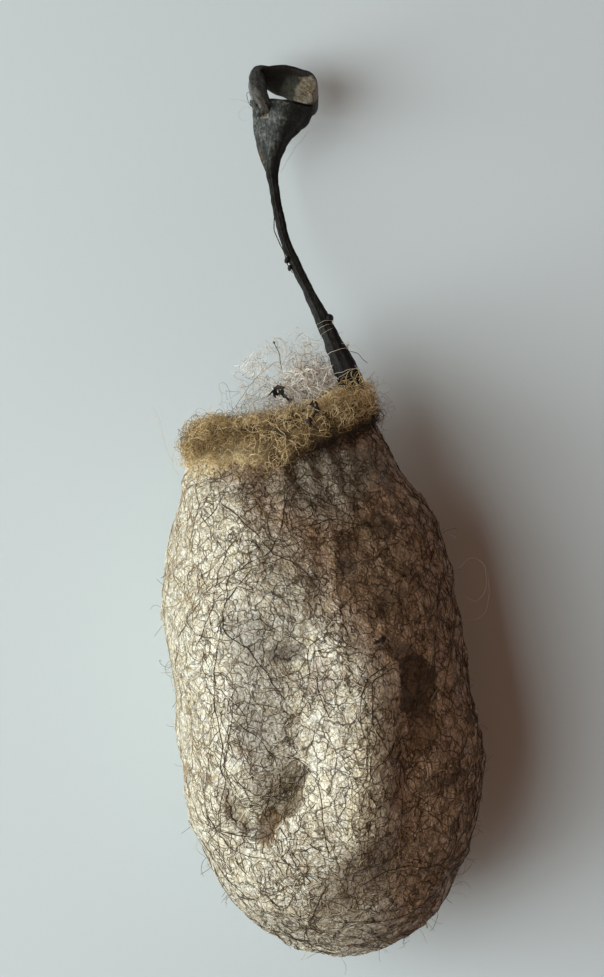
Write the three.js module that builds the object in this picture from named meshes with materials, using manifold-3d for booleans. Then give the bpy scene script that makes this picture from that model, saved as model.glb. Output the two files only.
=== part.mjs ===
// A wild silk moth's cocoon after the moth has left it: a hollow, dented, egg-shaped shell, a
// collar of matted wool round its open mouth, and the hard stalk that hung it from a twig.
// Millimetres, +Z up. The cocoon lies on its belly: the origin is the middle of the small flat
// spot it rests on, and +Y runs along the cocoon towards the mouth and the stalk.

import * as THREE from 'three';
import { mergeVertices } from 'three/addons/utils/BufferGeometryUtils.js';
import Module from 'manifold-3d';

const wasm = await Module();
wasm.setup();

const turn = 2 * Math.PI;

// Clearance kept between pieces that touch.
const gap = 0.3;

// Shell seen from above. Each side runs from the mouth to the tip, and both meet at the tip.
const leftSide = [
  [-11.6, 20.2], [-12.5, 17.4], [-13.5, 13.4], [-14.1, 8.0],
  [-13.1, 0.8], [-12.3, -6.4], [-10.7, -13.5], [-6.6, -20.4],
];
const rightSide = [
  [4.9, 23.8], [7.5, 19.1], [10.6, 15.1], [12.3, 8.2],
  [13.2, 1.0], [14.4, -6.2], [13.5, -13.6], [9.4, -20.7],
];
const tipPoint = [1.4, -24.0];

// Shell seen from the side, as [y, z]: its back is the upper side, its belly the lower one.
const backLine = [
  [20.7, 21.4], [17.2, 23.6], [13.9, 25.2], [8.1, 26.8],
  [0.9, 27.3], [-6.3, 26.9], [-13.5, 24.8], [-20.3, 19.6],
];
const bellyLine = [
  [23.3, 6.8], [19.4, 4.4], [14.7, 2.2], [8.1, 0.05],
  [0.9, -0.4], [-6.3, -0.1], [-13.5, 1.6], [-20.3, 6.0],
];
const tipSide = [-24.0, 12.8];

// How full the rounded sections are: 1 is an ellipse, less is squarer.
const sectionFullness = 0.93;

const shell = {
  wall: 1.0,
  columns: 52,
  rows: 38,
  cavityColumns: 36,
  cavityRows: 27,
  shoulderRows: 5,
};

// The gathered end: from the full neck the shell closes in to a flat lip with a hole in it.
const mouth = {
  center: new THREE.Vector3(-3.35, 22.0, 14.0),
  turnDegrees: 12.3,
  riseDegrees: 10,
  shoulderHeight: 1.7,
  lipScale: 0.7,
  holeRadius: 5.0,
};

// Grooves of the gathered silk below the mouth.
const pleats = { count: 19, depth: 0.34, reach: 0.17, bunching: 2.2, bunches: 3 };

// Hollows pressed into the back: place, half lengths along and across, direction and depth.
// A swelling is a hollow of negative depth.
const hollows = [
  { x: -2.9, y: 3.3, long: 2.0, short: 1.5, degrees: 0, depth: 0.85 },
  { x: -1.6, y: -1.5, long: 8.5, short: 2.6, degrees: 90, depth: 0.9 },
  { x: -3.4, y: 13.0, long: 7.0, short: 2.8, degrees: 105, depth: 0.45 },
  { x: -4.0, y: -10.6, long: 5.2, short: 2.9, degrees: 64, depth: 1.7 },
  { x: -6.0, y: -12.6, long: 2.4, short: 1.7, degrees: 120, depth: 0.7 },
  { x: 4.2, y: 11.4, long: 7.0, short: 4.0, degrees: 105, depth: 0.9 },
  { x: 3.4, y: -6.9, long: 8.0, short: 2.2, degrees: 88, depth: -0.5 },
  { x: -7.0, y: 11.5, long: 8.0, short: 3.6, degrees: 95, depth: -0.35 },
];

// Height above the shell's middle over which the hollows fade in.
const hollowFadeIn = 4;

// Broad unevenness of the whole shell: turns round, lengths along and shift of each wave.
const lumps = { height: 0.16, waves: [[2, 3, 0.4], [3, 5, 1.9], [5, 4, 3.1]] };

// Matted collar round the mouth, measured out from the mouth's axis and along it.
const wool = {
  rollRadius: 6.5,
  rollThickness: 2.2,
  rollMiddle: 1.6,
  rollHeight: 2.75,
  flatten: 0.94,
  lumpHeight: 0.2,
  columns: 36,
  rows: 12,
};

// Tuft of loose floss that stands up behind the mouth's hole.
const tuft = {
  sideways: 2.2,
  along: 4.6,
  lift: -4.2,
  halfWidth: 4.6,
  halfHeight: 4.1,
  halfDepth: 1.5,
  lumpHeight: 0.18,
  columns: 18,
  rows: 12,
};

// Stalk from its foot on the shell to the flare: middle, width, thickness, and how far the
// edges of the flattened section droop.
const stalkStations = [
  { at: [5.3, 22.2, 14.8], wide: 1.0, thick: 0.5, droop: 0 },
  { at: [4.6, 23.9, 15.1], wide: 1.6, thick: 0.9, droop: 0 },
  { at: [3.5, 25.9, 15.2], wide: 2.1, thick: 1.2, droop: 0 },
  { at: [2.35, 28.6, 14.9], wide: 2.1, thick: 1.25, droop: 0 },
  { at: [1.3, 31.0, 14.4], wide: 1.6, thick: 1.15, droop: 0 },
  { at: [0.35, 33.1, 13.8], wide: 1.35, thick: 1.05, droop: 0 },
  { at: [-0.95, 35.8, 12.8], wide: 1.0, thick: 0.9, droop: 0 },
  { at: [-2.3, 38.6, 11.6], wide: 0.9, thick: 0.8, droop: 0 },
  { at: [-3.35, 41.4, 10.3], wide: 0.85, thick: 0.75, droop: 0 },
  { at: [-3.95, 44.3, 9.1], wide: 0.85, thick: 0.75, droop: 0 },
  { at: [-4.35, 47.0, 8.1], wide: 1.1, thick: 0.8, droop: 0 },
  { at: [-4.4, 49.1, 7.6], wide: 2.6, thick: 0.85, droop: 0.2 },
  { at: [-4.2, 50.6, 7.5], wide: 3.7, thick: 0.8, droop: 0.5 },
  { at: [-3.75, 51.8, 8.0], wide: 5.1, thick: 0.7, droop: 1.2 },
  { at: [-3.4, 52.8, 8.9], wide: 6.0, thick: 0.65, droop: 1.8 },
  { at: [-3.3, 53.6, 9.8], wide: 6.0, thick: 0.6, droop: 2.0 },
];
const stalk = { sides: 10, steps: 46 };

// Strap that was wound round the twig. Its axis leans from upright towards +Y.
const strap = {
  center: new THREE.Vector3(-3.3, 54.25, 6.5),
  leanDegrees: 50,
  radius: 2.9,
  thick: 0.6,
  wide: 3.0,
  slant: -0.3,
  startDegrees: -48,
  endDegrees: 216,
  segments: 30,
};

// Small swelling on the stalk above its foot.
const knob = { at: [0.7, 33.5, 13.8], radius: 0.5, columns: 8, rows: 6 };

// Largest extent of the helper block below the floor that cuts the flat spot.
const floorBlock = 80;

// The mouth's own directions: to the right across it, out of it, and up across it.
const upward = new THREE.Vector3(0, 0, 1);
const mouthAcross = new THREE.Vector3(1, 0, 0)
  .applyAxisAngle(upward, THREE.MathUtils.degToRad(mouth.turnDegrees));
const mouthAxis = new THREE.Vector3(0, 1, 0)
  .applyAxisAngle(upward, THREE.MathUtils.degToRad(mouth.turnDegrees))
  .applyAxisAngle(mouthAcross, THREE.MathUtils.degToRad(mouth.riseDegrees));
const mouthLift = mouthAcross.clone().cross(mouthAxis);
const tipDirection = new THREE.Vector3(0, -1, 0);

const outline = smoothLoop(leftSide, tipPoint, rightSide);
const sideLine = smoothLoop(backLine, tipSide, bellyLine);

// One curve down one side, round the tip and back up the other.
function smoothLoop(there, end, back) {
  const points = [...there, end, ...[...back].reverse()];
  return new THREE.SplineCurve(points.map(([a, b]) => new THREE.Vector2(a, b)));
}

function toSolid(geometry) {
  geometry.deleteAttribute('normal');
  geometry.deleteAttribute('uv');
  const merged = mergeVertices(geometry, 1e-4);
  const mesh = new wasm.Mesh({
    numProp: 3,
    vertProperties: new Float32Array(merged.attributes.position.array),
    triVerts: new Uint32Array(merged.index.array),
  });
  return new wasm.Manifold(mesh);
}

function toGeometry(solid) {
  const mesh = solid.getMesh();
  const geometry = new THREE.BufferGeometry();
  geometry.setAttribute('position', new THREE.BufferAttribute(mesh.vertProperties, 3));
  geometry.setIndex(new THREE.BufferAttribute(mesh.triVerts, 1));
  geometry.computeVertexNormals();
  return geometry;
}

// A sphere whose vertices are moved: rows run from the first pole to the last, turns run round.
function reshapedSphere(columns, rows, place) {
  const geometry = new THREE.SphereGeometry(1, columns, rows);
  const position = geometry.attributes.position;
  for (let row = 0; row <= rows; row += 1) {
    for (let column = 0; column <= columns; column += 1) {
      const around = ((column % columns) / columns) * turn;
      const point = place(row / rows, around);
      position.setXYZ(row * (columns + 1) + column, point.x, point.y, point.z);
    }
  }
  return toSolid(geometry);
}

function power(value, exponent) {
  return Math.sign(value) * Math.abs(value) ** exponent;
}

// Depth of an elongated round hollow at a place on the back.
function hollowDepth(hollow, x, y) {
  const angle = THREE.MathUtils.degToRad(hollow.degrees);
  const along = (x - hollow.x) * Math.cos(angle) + (y - hollow.y) * Math.sin(angle);
  const across = (y - hollow.y) * Math.cos(angle) - (x - hollow.x) * Math.sin(angle);
  return hollow.depth * Math.exp(-((along / hollow.long) ** 2) - (across / hollow.short) ** 2);
}

// Section of the shell: along is 0 at the neck and 1 at the tip; around is 0 on the left,
// a quarter turn on the back, half a turn on the right and three quarters on the belly.
function plainShell(along, around) {
  const left = outline.getPoint(along / 2);
  const right = outline.getPoint(1 - along / 2);
  const back = sideLine.getPoint(along / 2);
  const belly = sideLine.getPoint(1 - along / 2);
  const cosine = power(Math.cos(around), sectionFullness);
  const sine = power(Math.sin(around), sectionFullness);
  const middleZ = (back.y + belly.y) / 2;
  const halfZ = (back.y - belly.y) / 2;
  const middleX = (left.x + right.x) / 2;
  const middleY = (left.y + right.y) / 2;
  const leanY = (back.x - belly.x) / 2;
  return new THREE.Vector3(
    middleX - cosine * (right.x - left.x) / 2,
    middleY - cosine * (right.y - left.y) / 2 + sine * leanY,
    middleZ + sine * halfZ,
  );
}

// Direction straight out of the shell's surface.
function shellNormal(along, around) {
  if (along === 1) {
    return tipDirection.clone();
  }
  const step = 0.004;
  const at = Math.min(along, 1 - 2 * step);
  const before = Math.max(at - step, 0);
  const lengthwise = plainShell(at + step, around).sub(plainShell(before, around));
  const round = plainShell(at, around + step).sub(plainShell(at, around - step));
  return round.cross(lengthwise).normalize().negate();
}

// Grooves, hollows, swellings and lumps together, as a distance outward.
function shellRelief(point, along, around) {
  const fade = Math.exp(-((along / pleats.reach) ** 2));
  const wave = Math.sin(pleats.count * around + pleats.bunching * Math.sin(pleats.bunches * around));
  let height = pleats.depth * fade * wave;
  if (point.z > mouth.center.z) {
    const facing = Math.min(1, (point.z - mouth.center.z) / hollowFadeIn);
    hollows.forEach((hollow) => {
      height -= facing * hollowDepth(hollow, point.x, point.y);
    });
  }
  const taper = Math.sin(Math.PI * Math.min(1, along));
  lumps.waves.forEach(([turns, lengths, shift]) => {
    const ripple = Math.sin(turns * around + shift) * Math.cos(3 * lengths * along + shift);
    height += lumps.height * taper * ripple;
  });
  return height;
}

function shellPoint(along, around, grow) {
  const point = plainShell(along, around);
  const outward = shellNormal(along, around);
  return point.addScaledVector(outward, shellRelief(point, along, around) + grow);
}

// The gathered end as a quarter round from the neck to the lip; closing is 0 to 1.
function shoulderPoint(closing, around, grow) {
  const neck = shellPoint(0, around, grow).sub(mouth.center);
  const angle = closing * turn / 4;
  const scale = mouth.lipScale + (1 - mouth.lipScale) * Math.cos(angle);
  const height = (mouth.shoulderHeight + grow) * Math.sin(angle);
  return neck.multiplyScalar(scale).add(mouth.center).addScaledVector(mouthAxis, height);
}

// A point on a circle round the mouth's axis.
function mouthCircle(radius, height, around) {
  return mouth.center.clone()
    .addScaledVector(mouthAxis, height)
    .addScaledVector(mouthAcross, -radius * Math.cos(around))
    .addScaledVector(mouthLift, radius * Math.sin(around));
}

// Outer form of the shell, closed over its mouth, grown outward by a given amount.
function shellForm(grow) {
  const lipRow = 1 / shell.rows;
  const neckRow = shell.shoulderRows / shell.rows;
  return reshapedSphere(shell.columns, shell.rows, (row, around) => {
    if (row < lipRow / 2) {
      return mouthCircle(0, mouth.shoulderHeight + grow, around);
    }
    if (row <= neckRow) {
      return shoulderPoint((neckRow - row) / (neckRow - lipRow), around, grow);
    }
    return shellPoint((row - neckRow) / (1 - neckRow), around, grow);
  });
}

// Space inside the shell with the way out through the mouth's hole. The first rows make the
// hole and the inside of the gathered end.
function cavityForm() {
  const rows = shell.cavityRows;
  const outside = mouth.shoulderHeight + 2;
  return reshapedSphere(shell.cavityColumns, rows, (row, around) => {
    const step = Math.round(row * rows);
    if (step === 0) {
      return mouthCircle(0, outside, around);
    }
    if (step === 1) {
      return mouthCircle(mouth.holeRadius, outside, around);
    }
    if (step === 2) {
      return mouthCircle(mouth.holeRadius, mouth.shoulderHeight - shell.wall, around);
    }
    if (step === 3) {
      return shoulderPoint(0.5, around, -shell.wall);
    }
    return shellPoint((step - 4) / (rows - 4), around, -shell.wall);
  });
}

function floorCut() {
  const block = new THREE.BoxGeometry(floorBlock, floorBlock, floorBlock);
  block.translate(0, 0, -floorBlock / 2);
  return toSolid(block);
}

function makeShell() {
  return shellForm(0).subtract(cavityForm()).subtract(floorCut());
}

function makeWool() {
  const around = wool.columns;
  const ring = new THREE.TorusGeometry(1, 0.4, wool.rows, around);
  const position = ring.attributes.position;
  for (let row = 0; row <= wool.rows; row += 1) {
    for (let column = 0; column <= around; column += 1) {
      const angle = ((column % around) / around) * turn;
      const roll = ((row % wool.rows) / wool.rows) * turn;
      const lump = wool.lumpHeight * Math.sin(5 * angle + roll) * Math.cos(3 * angle - 2 * roll + 1);
      const out = wool.rollRadius + (wool.rollThickness + lump) * Math.cos(roll);
      const height = wool.rollMiddle + (wool.rollHeight + lump) * Math.sin(roll);
      const point = mouth.center.clone()
        .addScaledVector(mouthAcross, out * Math.cos(angle))
        .addScaledVector(mouthLift, -out * wool.flatten * Math.sin(angle))
        .addScaledVector(mouthAxis, height);
      position.setXYZ(row * (around + 1) + column, point.x, point.y, point.z);
    }
  }
  return toSolid(ring).add(makeTuft()).subtract(shellForm(gap)).subtract(stemForm(gap));
}

function makeTuft() {
  const middle = mouth.center.clone()
    .addScaledVector(mouthAcross, tuft.sideways)
    .addScaledVector(mouthAxis, tuft.along)
    .addScaledVector(mouthLift, tuft.lift);
  return reshapedSphere(tuft.columns, tuft.rows, (row, around) => {
    const down = row * Math.PI;
    const lump = 1 + tuft.lumpHeight * Math.sin(4 * around + 3 * down) * Math.sin(down);
    return middle.clone()
      .addScaledVector(mouthAcross, -tuft.halfWidth * lump * Math.sin(down) * Math.cos(around))
      .addScaledVector(mouthLift, tuft.halfDepth * lump * Math.sin(down) * Math.sin(around))
      .addScaledVector(mouthAxis, tuft.halfHeight * lump * Math.cos(down));
  });
}

// Flattened stem through the stations, grown outward by a given amount.
function stemForm(grow) {
  const path = new THREE.CatmullRomCurve3(stalkStations.map(({ at }) => new THREE.Vector3(...at)));
  const sizes = new THREE.CatmullRomCurve3(
    stalkStations.map(({ wide, thick, droop }) => new THREE.Vector3(wide, thick, droop)),
  );
  const stem = new THREE.CylinderGeometry(1, 1, 1, stalk.sides, stalk.steps);
  const position = stem.attributes.position;
  for (let index = 0; index < position.count; index += 1) {
    const along = THREE.MathUtils.clamp(position.getY(index) + 0.5, 0, 1);
    const tangent = path.getTangent(along);
    const side = tangent.clone().cross(upward).normalize();
    const lift = side.clone().cross(tangent);
    const size = sizes.getPoint(along);
    const across = position.getX(index);
    const point = path.getPoint(along)
      .addScaledVector(side, across * (size.x / 2 + grow))
      .addScaledVector(lift, position.getZ(index) * (size.y / 2 + grow) - size.z * across ** 2)
      .addScaledVector(tangent, grow * Math.sign(along - 0.5) * (along === 0 || along === 1 ? 1 : 0));
    position.setXYZ(index, point.x, point.y, point.z);
  }
  return toSolid(stem);
}

// Curved band round the missing twig, open where its torn end lies on the flare.
function strapForm() {
  const start = THREE.MathUtils.degToRad(strap.startDegrees);
  const end = THREE.MathUtils.degToRad(strap.endDegrees);
  const band = new THREE.Shape();
  band.absarc(0, 0, strap.radius + strap.thick / 2, start, end, false);
  band.absarc(0, 0, strap.radius - strap.thick / 2, end, start, true);
  const geometry = new THREE.ExtrudeGeometry(band, {
    depth: strap.wide,
    bevelEnabled: false,
    curveSegments: strap.segments,
  });
  geometry.translate(0, 0, -strap.wide / 2);
  const position = geometry.attributes.position;
  for (let index = 0; index < position.count; index += 1) {
    const depth = position.getZ(index);
    const wider = 1 + strap.slant * position.getX(index) / strap.radius;
    position.setZ(index, depth < 0 ? depth * wider : depth);
  }
  geometry.rotateX(THREE.MathUtils.degToRad(-strap.leanDegrees));
  geometry.translate(strap.center.x, strap.center.y, strap.center.z);
  return toSolid(geometry);
}

function knobForm() {
  const ball = new THREE.SphereGeometry(knob.radius, knob.columns, knob.rows);
  ball.translate(...knob.at);
  return toSolid(ball);
}

function makeStalk() {
  return stemForm(0).add(strapForm()).add(knobForm()).subtract(shellForm(gap));
}

function namedMesh(name, solid, color, roughness) {
  const material = new THREE.MeshStandardMaterial({ color, roughness, metalness: 0 });
  const mesh = new THREE.Mesh(toGeometry(solid), material);
  mesh.name = name;
  return mesh;
}

const cocoon = new THREE.Group();
cocoon.add(namedMesh('cocoon_shell', makeShell(), 0xb9ab8c, 0.55));
cocoon.add(namedMesh('mouth_wool', makeWool(), 0x8c744c, 0.85));
cocoon.add(namedMesh('stalk', makeStalk(), 0x35322c, 0.6));

export default cocoon;
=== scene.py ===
import itertools
import math

import bpy
import numpy as np
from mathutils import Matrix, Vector
from mathutils.bvhtree import BVHTree


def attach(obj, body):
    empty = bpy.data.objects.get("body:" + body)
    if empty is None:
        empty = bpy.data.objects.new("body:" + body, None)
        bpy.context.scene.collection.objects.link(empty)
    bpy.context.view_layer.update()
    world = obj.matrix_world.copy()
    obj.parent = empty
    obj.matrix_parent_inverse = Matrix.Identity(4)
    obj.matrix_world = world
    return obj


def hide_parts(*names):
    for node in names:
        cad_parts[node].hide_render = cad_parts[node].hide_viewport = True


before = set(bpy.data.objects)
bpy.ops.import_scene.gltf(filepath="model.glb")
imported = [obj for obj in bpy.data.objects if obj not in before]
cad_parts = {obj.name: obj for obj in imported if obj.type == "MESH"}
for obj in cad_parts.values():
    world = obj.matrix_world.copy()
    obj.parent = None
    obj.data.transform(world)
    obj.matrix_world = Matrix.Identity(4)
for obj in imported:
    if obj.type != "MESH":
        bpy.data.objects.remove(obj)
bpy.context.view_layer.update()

# A wild silk moth's cocoon, dressed with its net of fibres, its woolly collar and its stalk.
# Places and sizes are in millimetres and turn into metres only when a mesh is made.
mm = 0.001
turn = 2 * math.pi
dice = np.random.default_rng(11)


# numbers

def unit(vectors):
    return vectors / np.maximum(np.linalg.norm(vectors, axis=-1, keepdims=True), 1e-9)


def dot(a, b):
    return (a * b).sum(-1, keepdims=True)


def power(value, exponent):
    return np.sign(value) * np.abs(value) ** exponent


# two coordinates, seen from axes that are turned by an angle
def turned(x, y, degrees):
    cosine, sine = math.cos(math.radians(degrees)), math.sin(math.radians(degrees))
    return x * cosine + y * sine, y * cosine - x * sine


def anglesRound(count):
    return np.arange(count) / count * turn


# smooth random values from -1 to 1; size is the width of one blotch
def softNoise(points, size, seed):
    places = np.asarray(points) / size
    cell = np.floor(places)
    part = places - cell
    part = part * part * (3 - 2 * part)
    cell = cell.astype(np.int64)
    total = 0
    for corner in itertools.product((0, 1), repeat=3):
        x, y, z = np.moveaxis(cell + np.array(corner), -1, 0)
        mixed = (x * 73856093) ^ (y * 19349663) ^ (z * 83492791) ^ (seed * 2654435)
        mixed = mixed.astype(np.uint64) & np.uint64(0xFFFFFFFF)
        mixed = (mixed ^ (mixed >> np.uint64(15))) * np.uint64(2246822519) & np.uint64(0xFFFFFFFF)
        mixed = (mixed ^ (mixed >> np.uint64(13))) * np.uint64(3266489917) & np.uint64(0xFFFFFFFF)
        weight = np.prod(np.where(corner, part, 1 - part), axis=-1)
        total = total + weight * (mixed >> np.uint64(8)).astype(float) / 2 ** 23
    return total - 1


# several layers of it together, each with a blotch width, a height and a seed
def unevenness(points, layers):
    return sum(tall * softNoise(points, size, seed) for size, tall, seed in layers)


# one smooth curve through points, read at places from 0 to 1
def smoothCurve(points, at):
    points = np.asarray(points, float)
    last = len(points) - 1
    place = np.clip(at, 0, 1) * last
    index = np.minimum(place.astype(int), last - 1)
    t = (place - index)[..., None]
    before, start, end, after = (points[np.clip(index + shift, 0, last)] for shift in (-1, 0, 1, 2))
    leave, arrive = (end - before) / 2, (after - start) / 2
    bend = (2 * start - 2 * end + leave + arrive) * t ** 3
    return bend + (3 * end - 3 * start - 2 * leave - arrive) * t ** 2 + leave * t + start


# materials

# a socket that can be added, multiplied and so on
class Wire:
    def __init__(self, finish, socket):
        self.finish = finish
        self.socket = socket

    def math(self, operation, *values, clamp=False):
        settings = {"operation": operation, "use_clamp": clamp}
        return self.finish.node("ShaderNodeMath", settings, dict(enumerate(values)))

    def __add__(self, other):
        return self.math("ADD", self, other)

    def __sub__(self, other):
        return self.math("SUBTRACT", self, other)

    def __mul__(self, other):
        return self.math("MULTIPLY", self, other)

    def __truediv__(self, other):
        return self.math("DIVIDE", self, other)

    def __rsub__(self, other):
        return self.math("SUBTRACT", other, self)

    __radd__ = __add__
    __rmul__ = __mul__

    def clamp(self):
        return self.math("ADD", self, 0.0, clamp=True)

    # 0 below the first value, 1 above the second, smooth between
    def between(self, low, high):
        sockets = {"Value": self, "From Min": low, "From Max": high}
        return self.finish.node("ShaderNodeMapRange", {"interpolation_type": "SMOOTHSTEP"}, sockets)


# a soft patch of colour: its place and half sizes seen from above, how strong it is, and its colour
def mark(at, size, strength, colour, **more):
    return {"at": at, "size": size, "strength": strength, "colour": colour, **more}


class Finish:
    def __init__(self, name):
        self.material = bpy.data.materials.new(name)
        self.material.use_nodes = True
        self.nodes = self.material.node_tree.nodes
        self.links = self.material.node_tree.links
        self.nodes.clear()

    # any node: its type, its settings, the values or links of its sockets, and the output wanted
    def node(self, kind, settings=None, sockets=None, out=0):
        made = self.nodes.new(kind)
        for key, value in (settings or {}).items():
            if key == "stops":
                self.setStops(made.color_ramp.elements, value)
            else:
                setattr(made, key, value)
        for key, value in (sockets or {}).items():
            if isinstance(value, Wire):
                self.links.new(value.socket, made.inputs[key])
            else:
                made.inputs[key].default_value = value
        return Wire(self, made.outputs[out]) if len(made.outputs) else None

    def setStops(self, elements, stops):
        while len(elements) < len(stops):
            elements.new(1)
        for element, (place, colour) in zip(elements, stops):
            element.position = place
            element.color = (*colour, 1)

    def vector(self, operation, sockets):
        return self.node("ShaderNodeVectorMath", {"operation": operation}, sockets)

    def ramp(self, level, stops):
        return self.node("ShaderNodeValToRGB", {"stops": stops}, {"Fac": level})

    def place(self):
        return self.vector("SCALE", {0: self.node("ShaderNodeTexCoord", out="Object"), "Scale": 1 / mm})

    def split(self, vector):
        parts = self.node("ShaderNodeSeparateXYZ", sockets={0: vector})
        made = parts.socket.node
        return [Wire(self, made.outputs[axis]) for axis in range(3)]

    def noise(self, vector, width, detail=2.0, roughness=0.5, out="Fac"):
        sockets = {"Vector": vector, "Scale": 1 / width, "Detail": detail, "Roughness": roughness}
        return self.node("ShaderNodeTexNoise", sockets=sockets, out=out)

    # coordinates pushed about by noise, so that lines and edges wander
    def warp(self, vector, width, amount):
        push = self.noise(vector, width, out="Color")
        centred = self.vector("SUBTRACT", {0: push, 1: (0.5, 0.5, 0.5)})
        scaled = self.vector("SCALE", {0: centred, "Scale": amount})
        return self.vector("ADD", {0: vector, 1: scaled})

    def mix(self, factor, first, second, blend="MIX"):
        first, second = ((*c, 1) if isinstance(c, tuple) else c for c in (first, second))
        settings = {"data_type": "RGBA", "blend_type": blend}
        return self.node("ShaderNodeMix", settings, {0: factor, 6: first, 7: second}, out=2)

    # walls of a net of cells, 1 on the wall and 0 beyond its width
    def net(self, vector, cell, width):
        sockets = {"Vector": vector, "Scale": 1 / cell}
        edge = self.node("ShaderNodeTexVoronoi", {"feature": "DISTANCE_TO_EDGE"}, sockets, out="Distance")
        return 1 - edge.between(0.0, width / cell)

    # rounded cells: how high each one bulges and its own shade, 0 to 1
    def cells(self, vector, size):
        sockets = {"Vector": vector, "Scale": 1 / size}
        cell = self.node("ShaderNodeTexVoronoi", sockets=sockets, out="Distance")
        shade = self.split(Wire(self, cell.socket.node.outputs["Color"]))[0]
        return 1 - cell * 1.3, shade

    # wandering lines where noise crosses its middle value
    def curls(self, vector, width, sharpness, detail=1.0):
        level = self.noise(vector, width, detail) - 0.5
        return 1 - level.math("ABSOLUTE", level).between(0.0, sharpness)

    # a mark seen from above, on what lies above its lowest height: 1 inside, fading to 0 at its edge
    def spot(self, axes, spot):
        x, y, z = axes
        longways, sideways = turned(x - spot["at"][0], y - spot["at"][1], spot.get("degrees", 0))
        longways, sideways = longways / spot["size"][0], sideways / spot["size"][1]
        reach = longways * longways + sideways * sideways
        inside = (1 - reach).between(0.0, spot.get("fade", 0.5))
        lowest = spot.get("above", 13.0)
        inside = inside * z.between(lowest, lowest + 2) * spot["strength"]
        return inside * z.between(spot["below"], spot["below"] - 0.5) if "below" in spot else inside

    def bump(self, height, distance, strength=1.0, below=None):
        sockets = {"Height": height, "Distance": distance * mm, "Strength": strength}
        if below:
            sockets["Normal"] = below
        return self.node("ShaderNodeBump", sockets=sockets)

    def finish(self, sockets, fixed=None):
        made = self.node("ShaderNodeBsdfPrincipled", sockets={**(fixed or {}), **sockets})
        self.node("ShaderNodeOutputMaterial", sockets={"Surface": made})
        return self.material


# meshes

shown = []


# a rough little body: its place, its half sizes, and its turn, tilt, bend and ragged edge if it has them
def lump(at, half, **more):
    return {"at": at, "half": half, **more}


# a closed mesh from points in millimetres and arrays of faces, each with its own corner places
# on the flat map named OFBake
def makePiece(name, points, faceSets, flatSets, material, node=None):
    mesh = bpy.data.meshes.new(name)
    corners = np.concatenate([faces.ravel() for faces in faceSets])
    sizes = np.concatenate([np.full(len(faces), faces.shape[1]) for faces in faceSets])
    mesh.vertices.add(len(points))
    mesh.vertices.foreach_set("co", (points * mm).astype(np.float32).ravel())
    mesh.loops.add(len(corners))
    mesh.loops.foreach_set("vertex_index", corners.astype(np.int32))
    mesh.polygons.add(len(sizes))
    mesh.polygons.foreach_set("loop_start", np.concatenate(([0], np.cumsum(sizes)[:-1])).astype(np.int32))
    mesh.polygons.foreach_set("use_smooth", np.ones(len(sizes), bool))
    flat = mesh.uv_layers.new(name="OFBake")
    places = np.concatenate([corner.reshape(-1, 2) for corner in flatSets])
    flat.uv.foreach_set("vector", places.astype(np.float32).ravel())
    mesh.update(calc_edges=True)
    mesh.validate()
    piece = bpy.data.objects.new(name, mesh)
    bpy.context.scene.collection.objects.link(piece)
    piece.data.materials.append(material)
    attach(piece, "root")
    if node:
        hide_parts(node)
    triangles = int((sizes - 2).sum())
    shown.append(triangles)
    print(f"{name}: {triangles} triangles")


# quads between neighbouring rings of points; the rings close on themselves
def ringFaces(rings, columns, flatLow=(0, 0), flatHigh=(1, 1)):
    row, column = np.mgrid[0:rings - 1, 0:columns]
    after = (column + 1) % columns
    quads = np.stack([row * columns + column, row * columns + after,
                      (row + 1) * columns + after, (row + 1) * columns + column], -1).reshape(-1, 4)
    u = np.stack([column, column + 1, column + 1, column], -1) / columns
    v = np.stack([row, row, row + 1, row + 1], -1) / (rings - 1)
    low, high = np.array(flatLow), np.array(flatHigh)
    return quads, (low + np.stack([u, v], -1) * (high - low)).reshape(-1, 4, 2)


# fan of triangles from a ring to one point
def fanFaces(first, columns, pole, outward):
    column = np.arange(columns)
    here, after = first + column, first + (column + 1) % columns
    pairs = np.stack([after, here] if outward else [here, after], -1)
    return np.concatenate([pairs, np.full((columns, 1), pole)], -1)


# the fans that close both ends of a stack of rings; the ends' middles are its last two points
def endFans(rings, columns):
    last = rings * columns
    return np.concatenate([fanFaces(0, columns, last, True),
                           fanFaces(last - columns, columns, last + 1, False)])


# directions along a path, across it and up from it
def pathFrame(path, up=(0, 0, 1)):
    tangent = unit(np.gradient(path, axis=0))
    side = unit(np.cross(tangent, up))
    return tangent, side, np.cross(side, tangent)


# a path that wanders a little, by an amount in places of the given size
def shaken(path, size, amount, seed):
    return path + np.stack([softNoise(path, size, seed + axis) for axis in range(3)], -1) * amount
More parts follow.
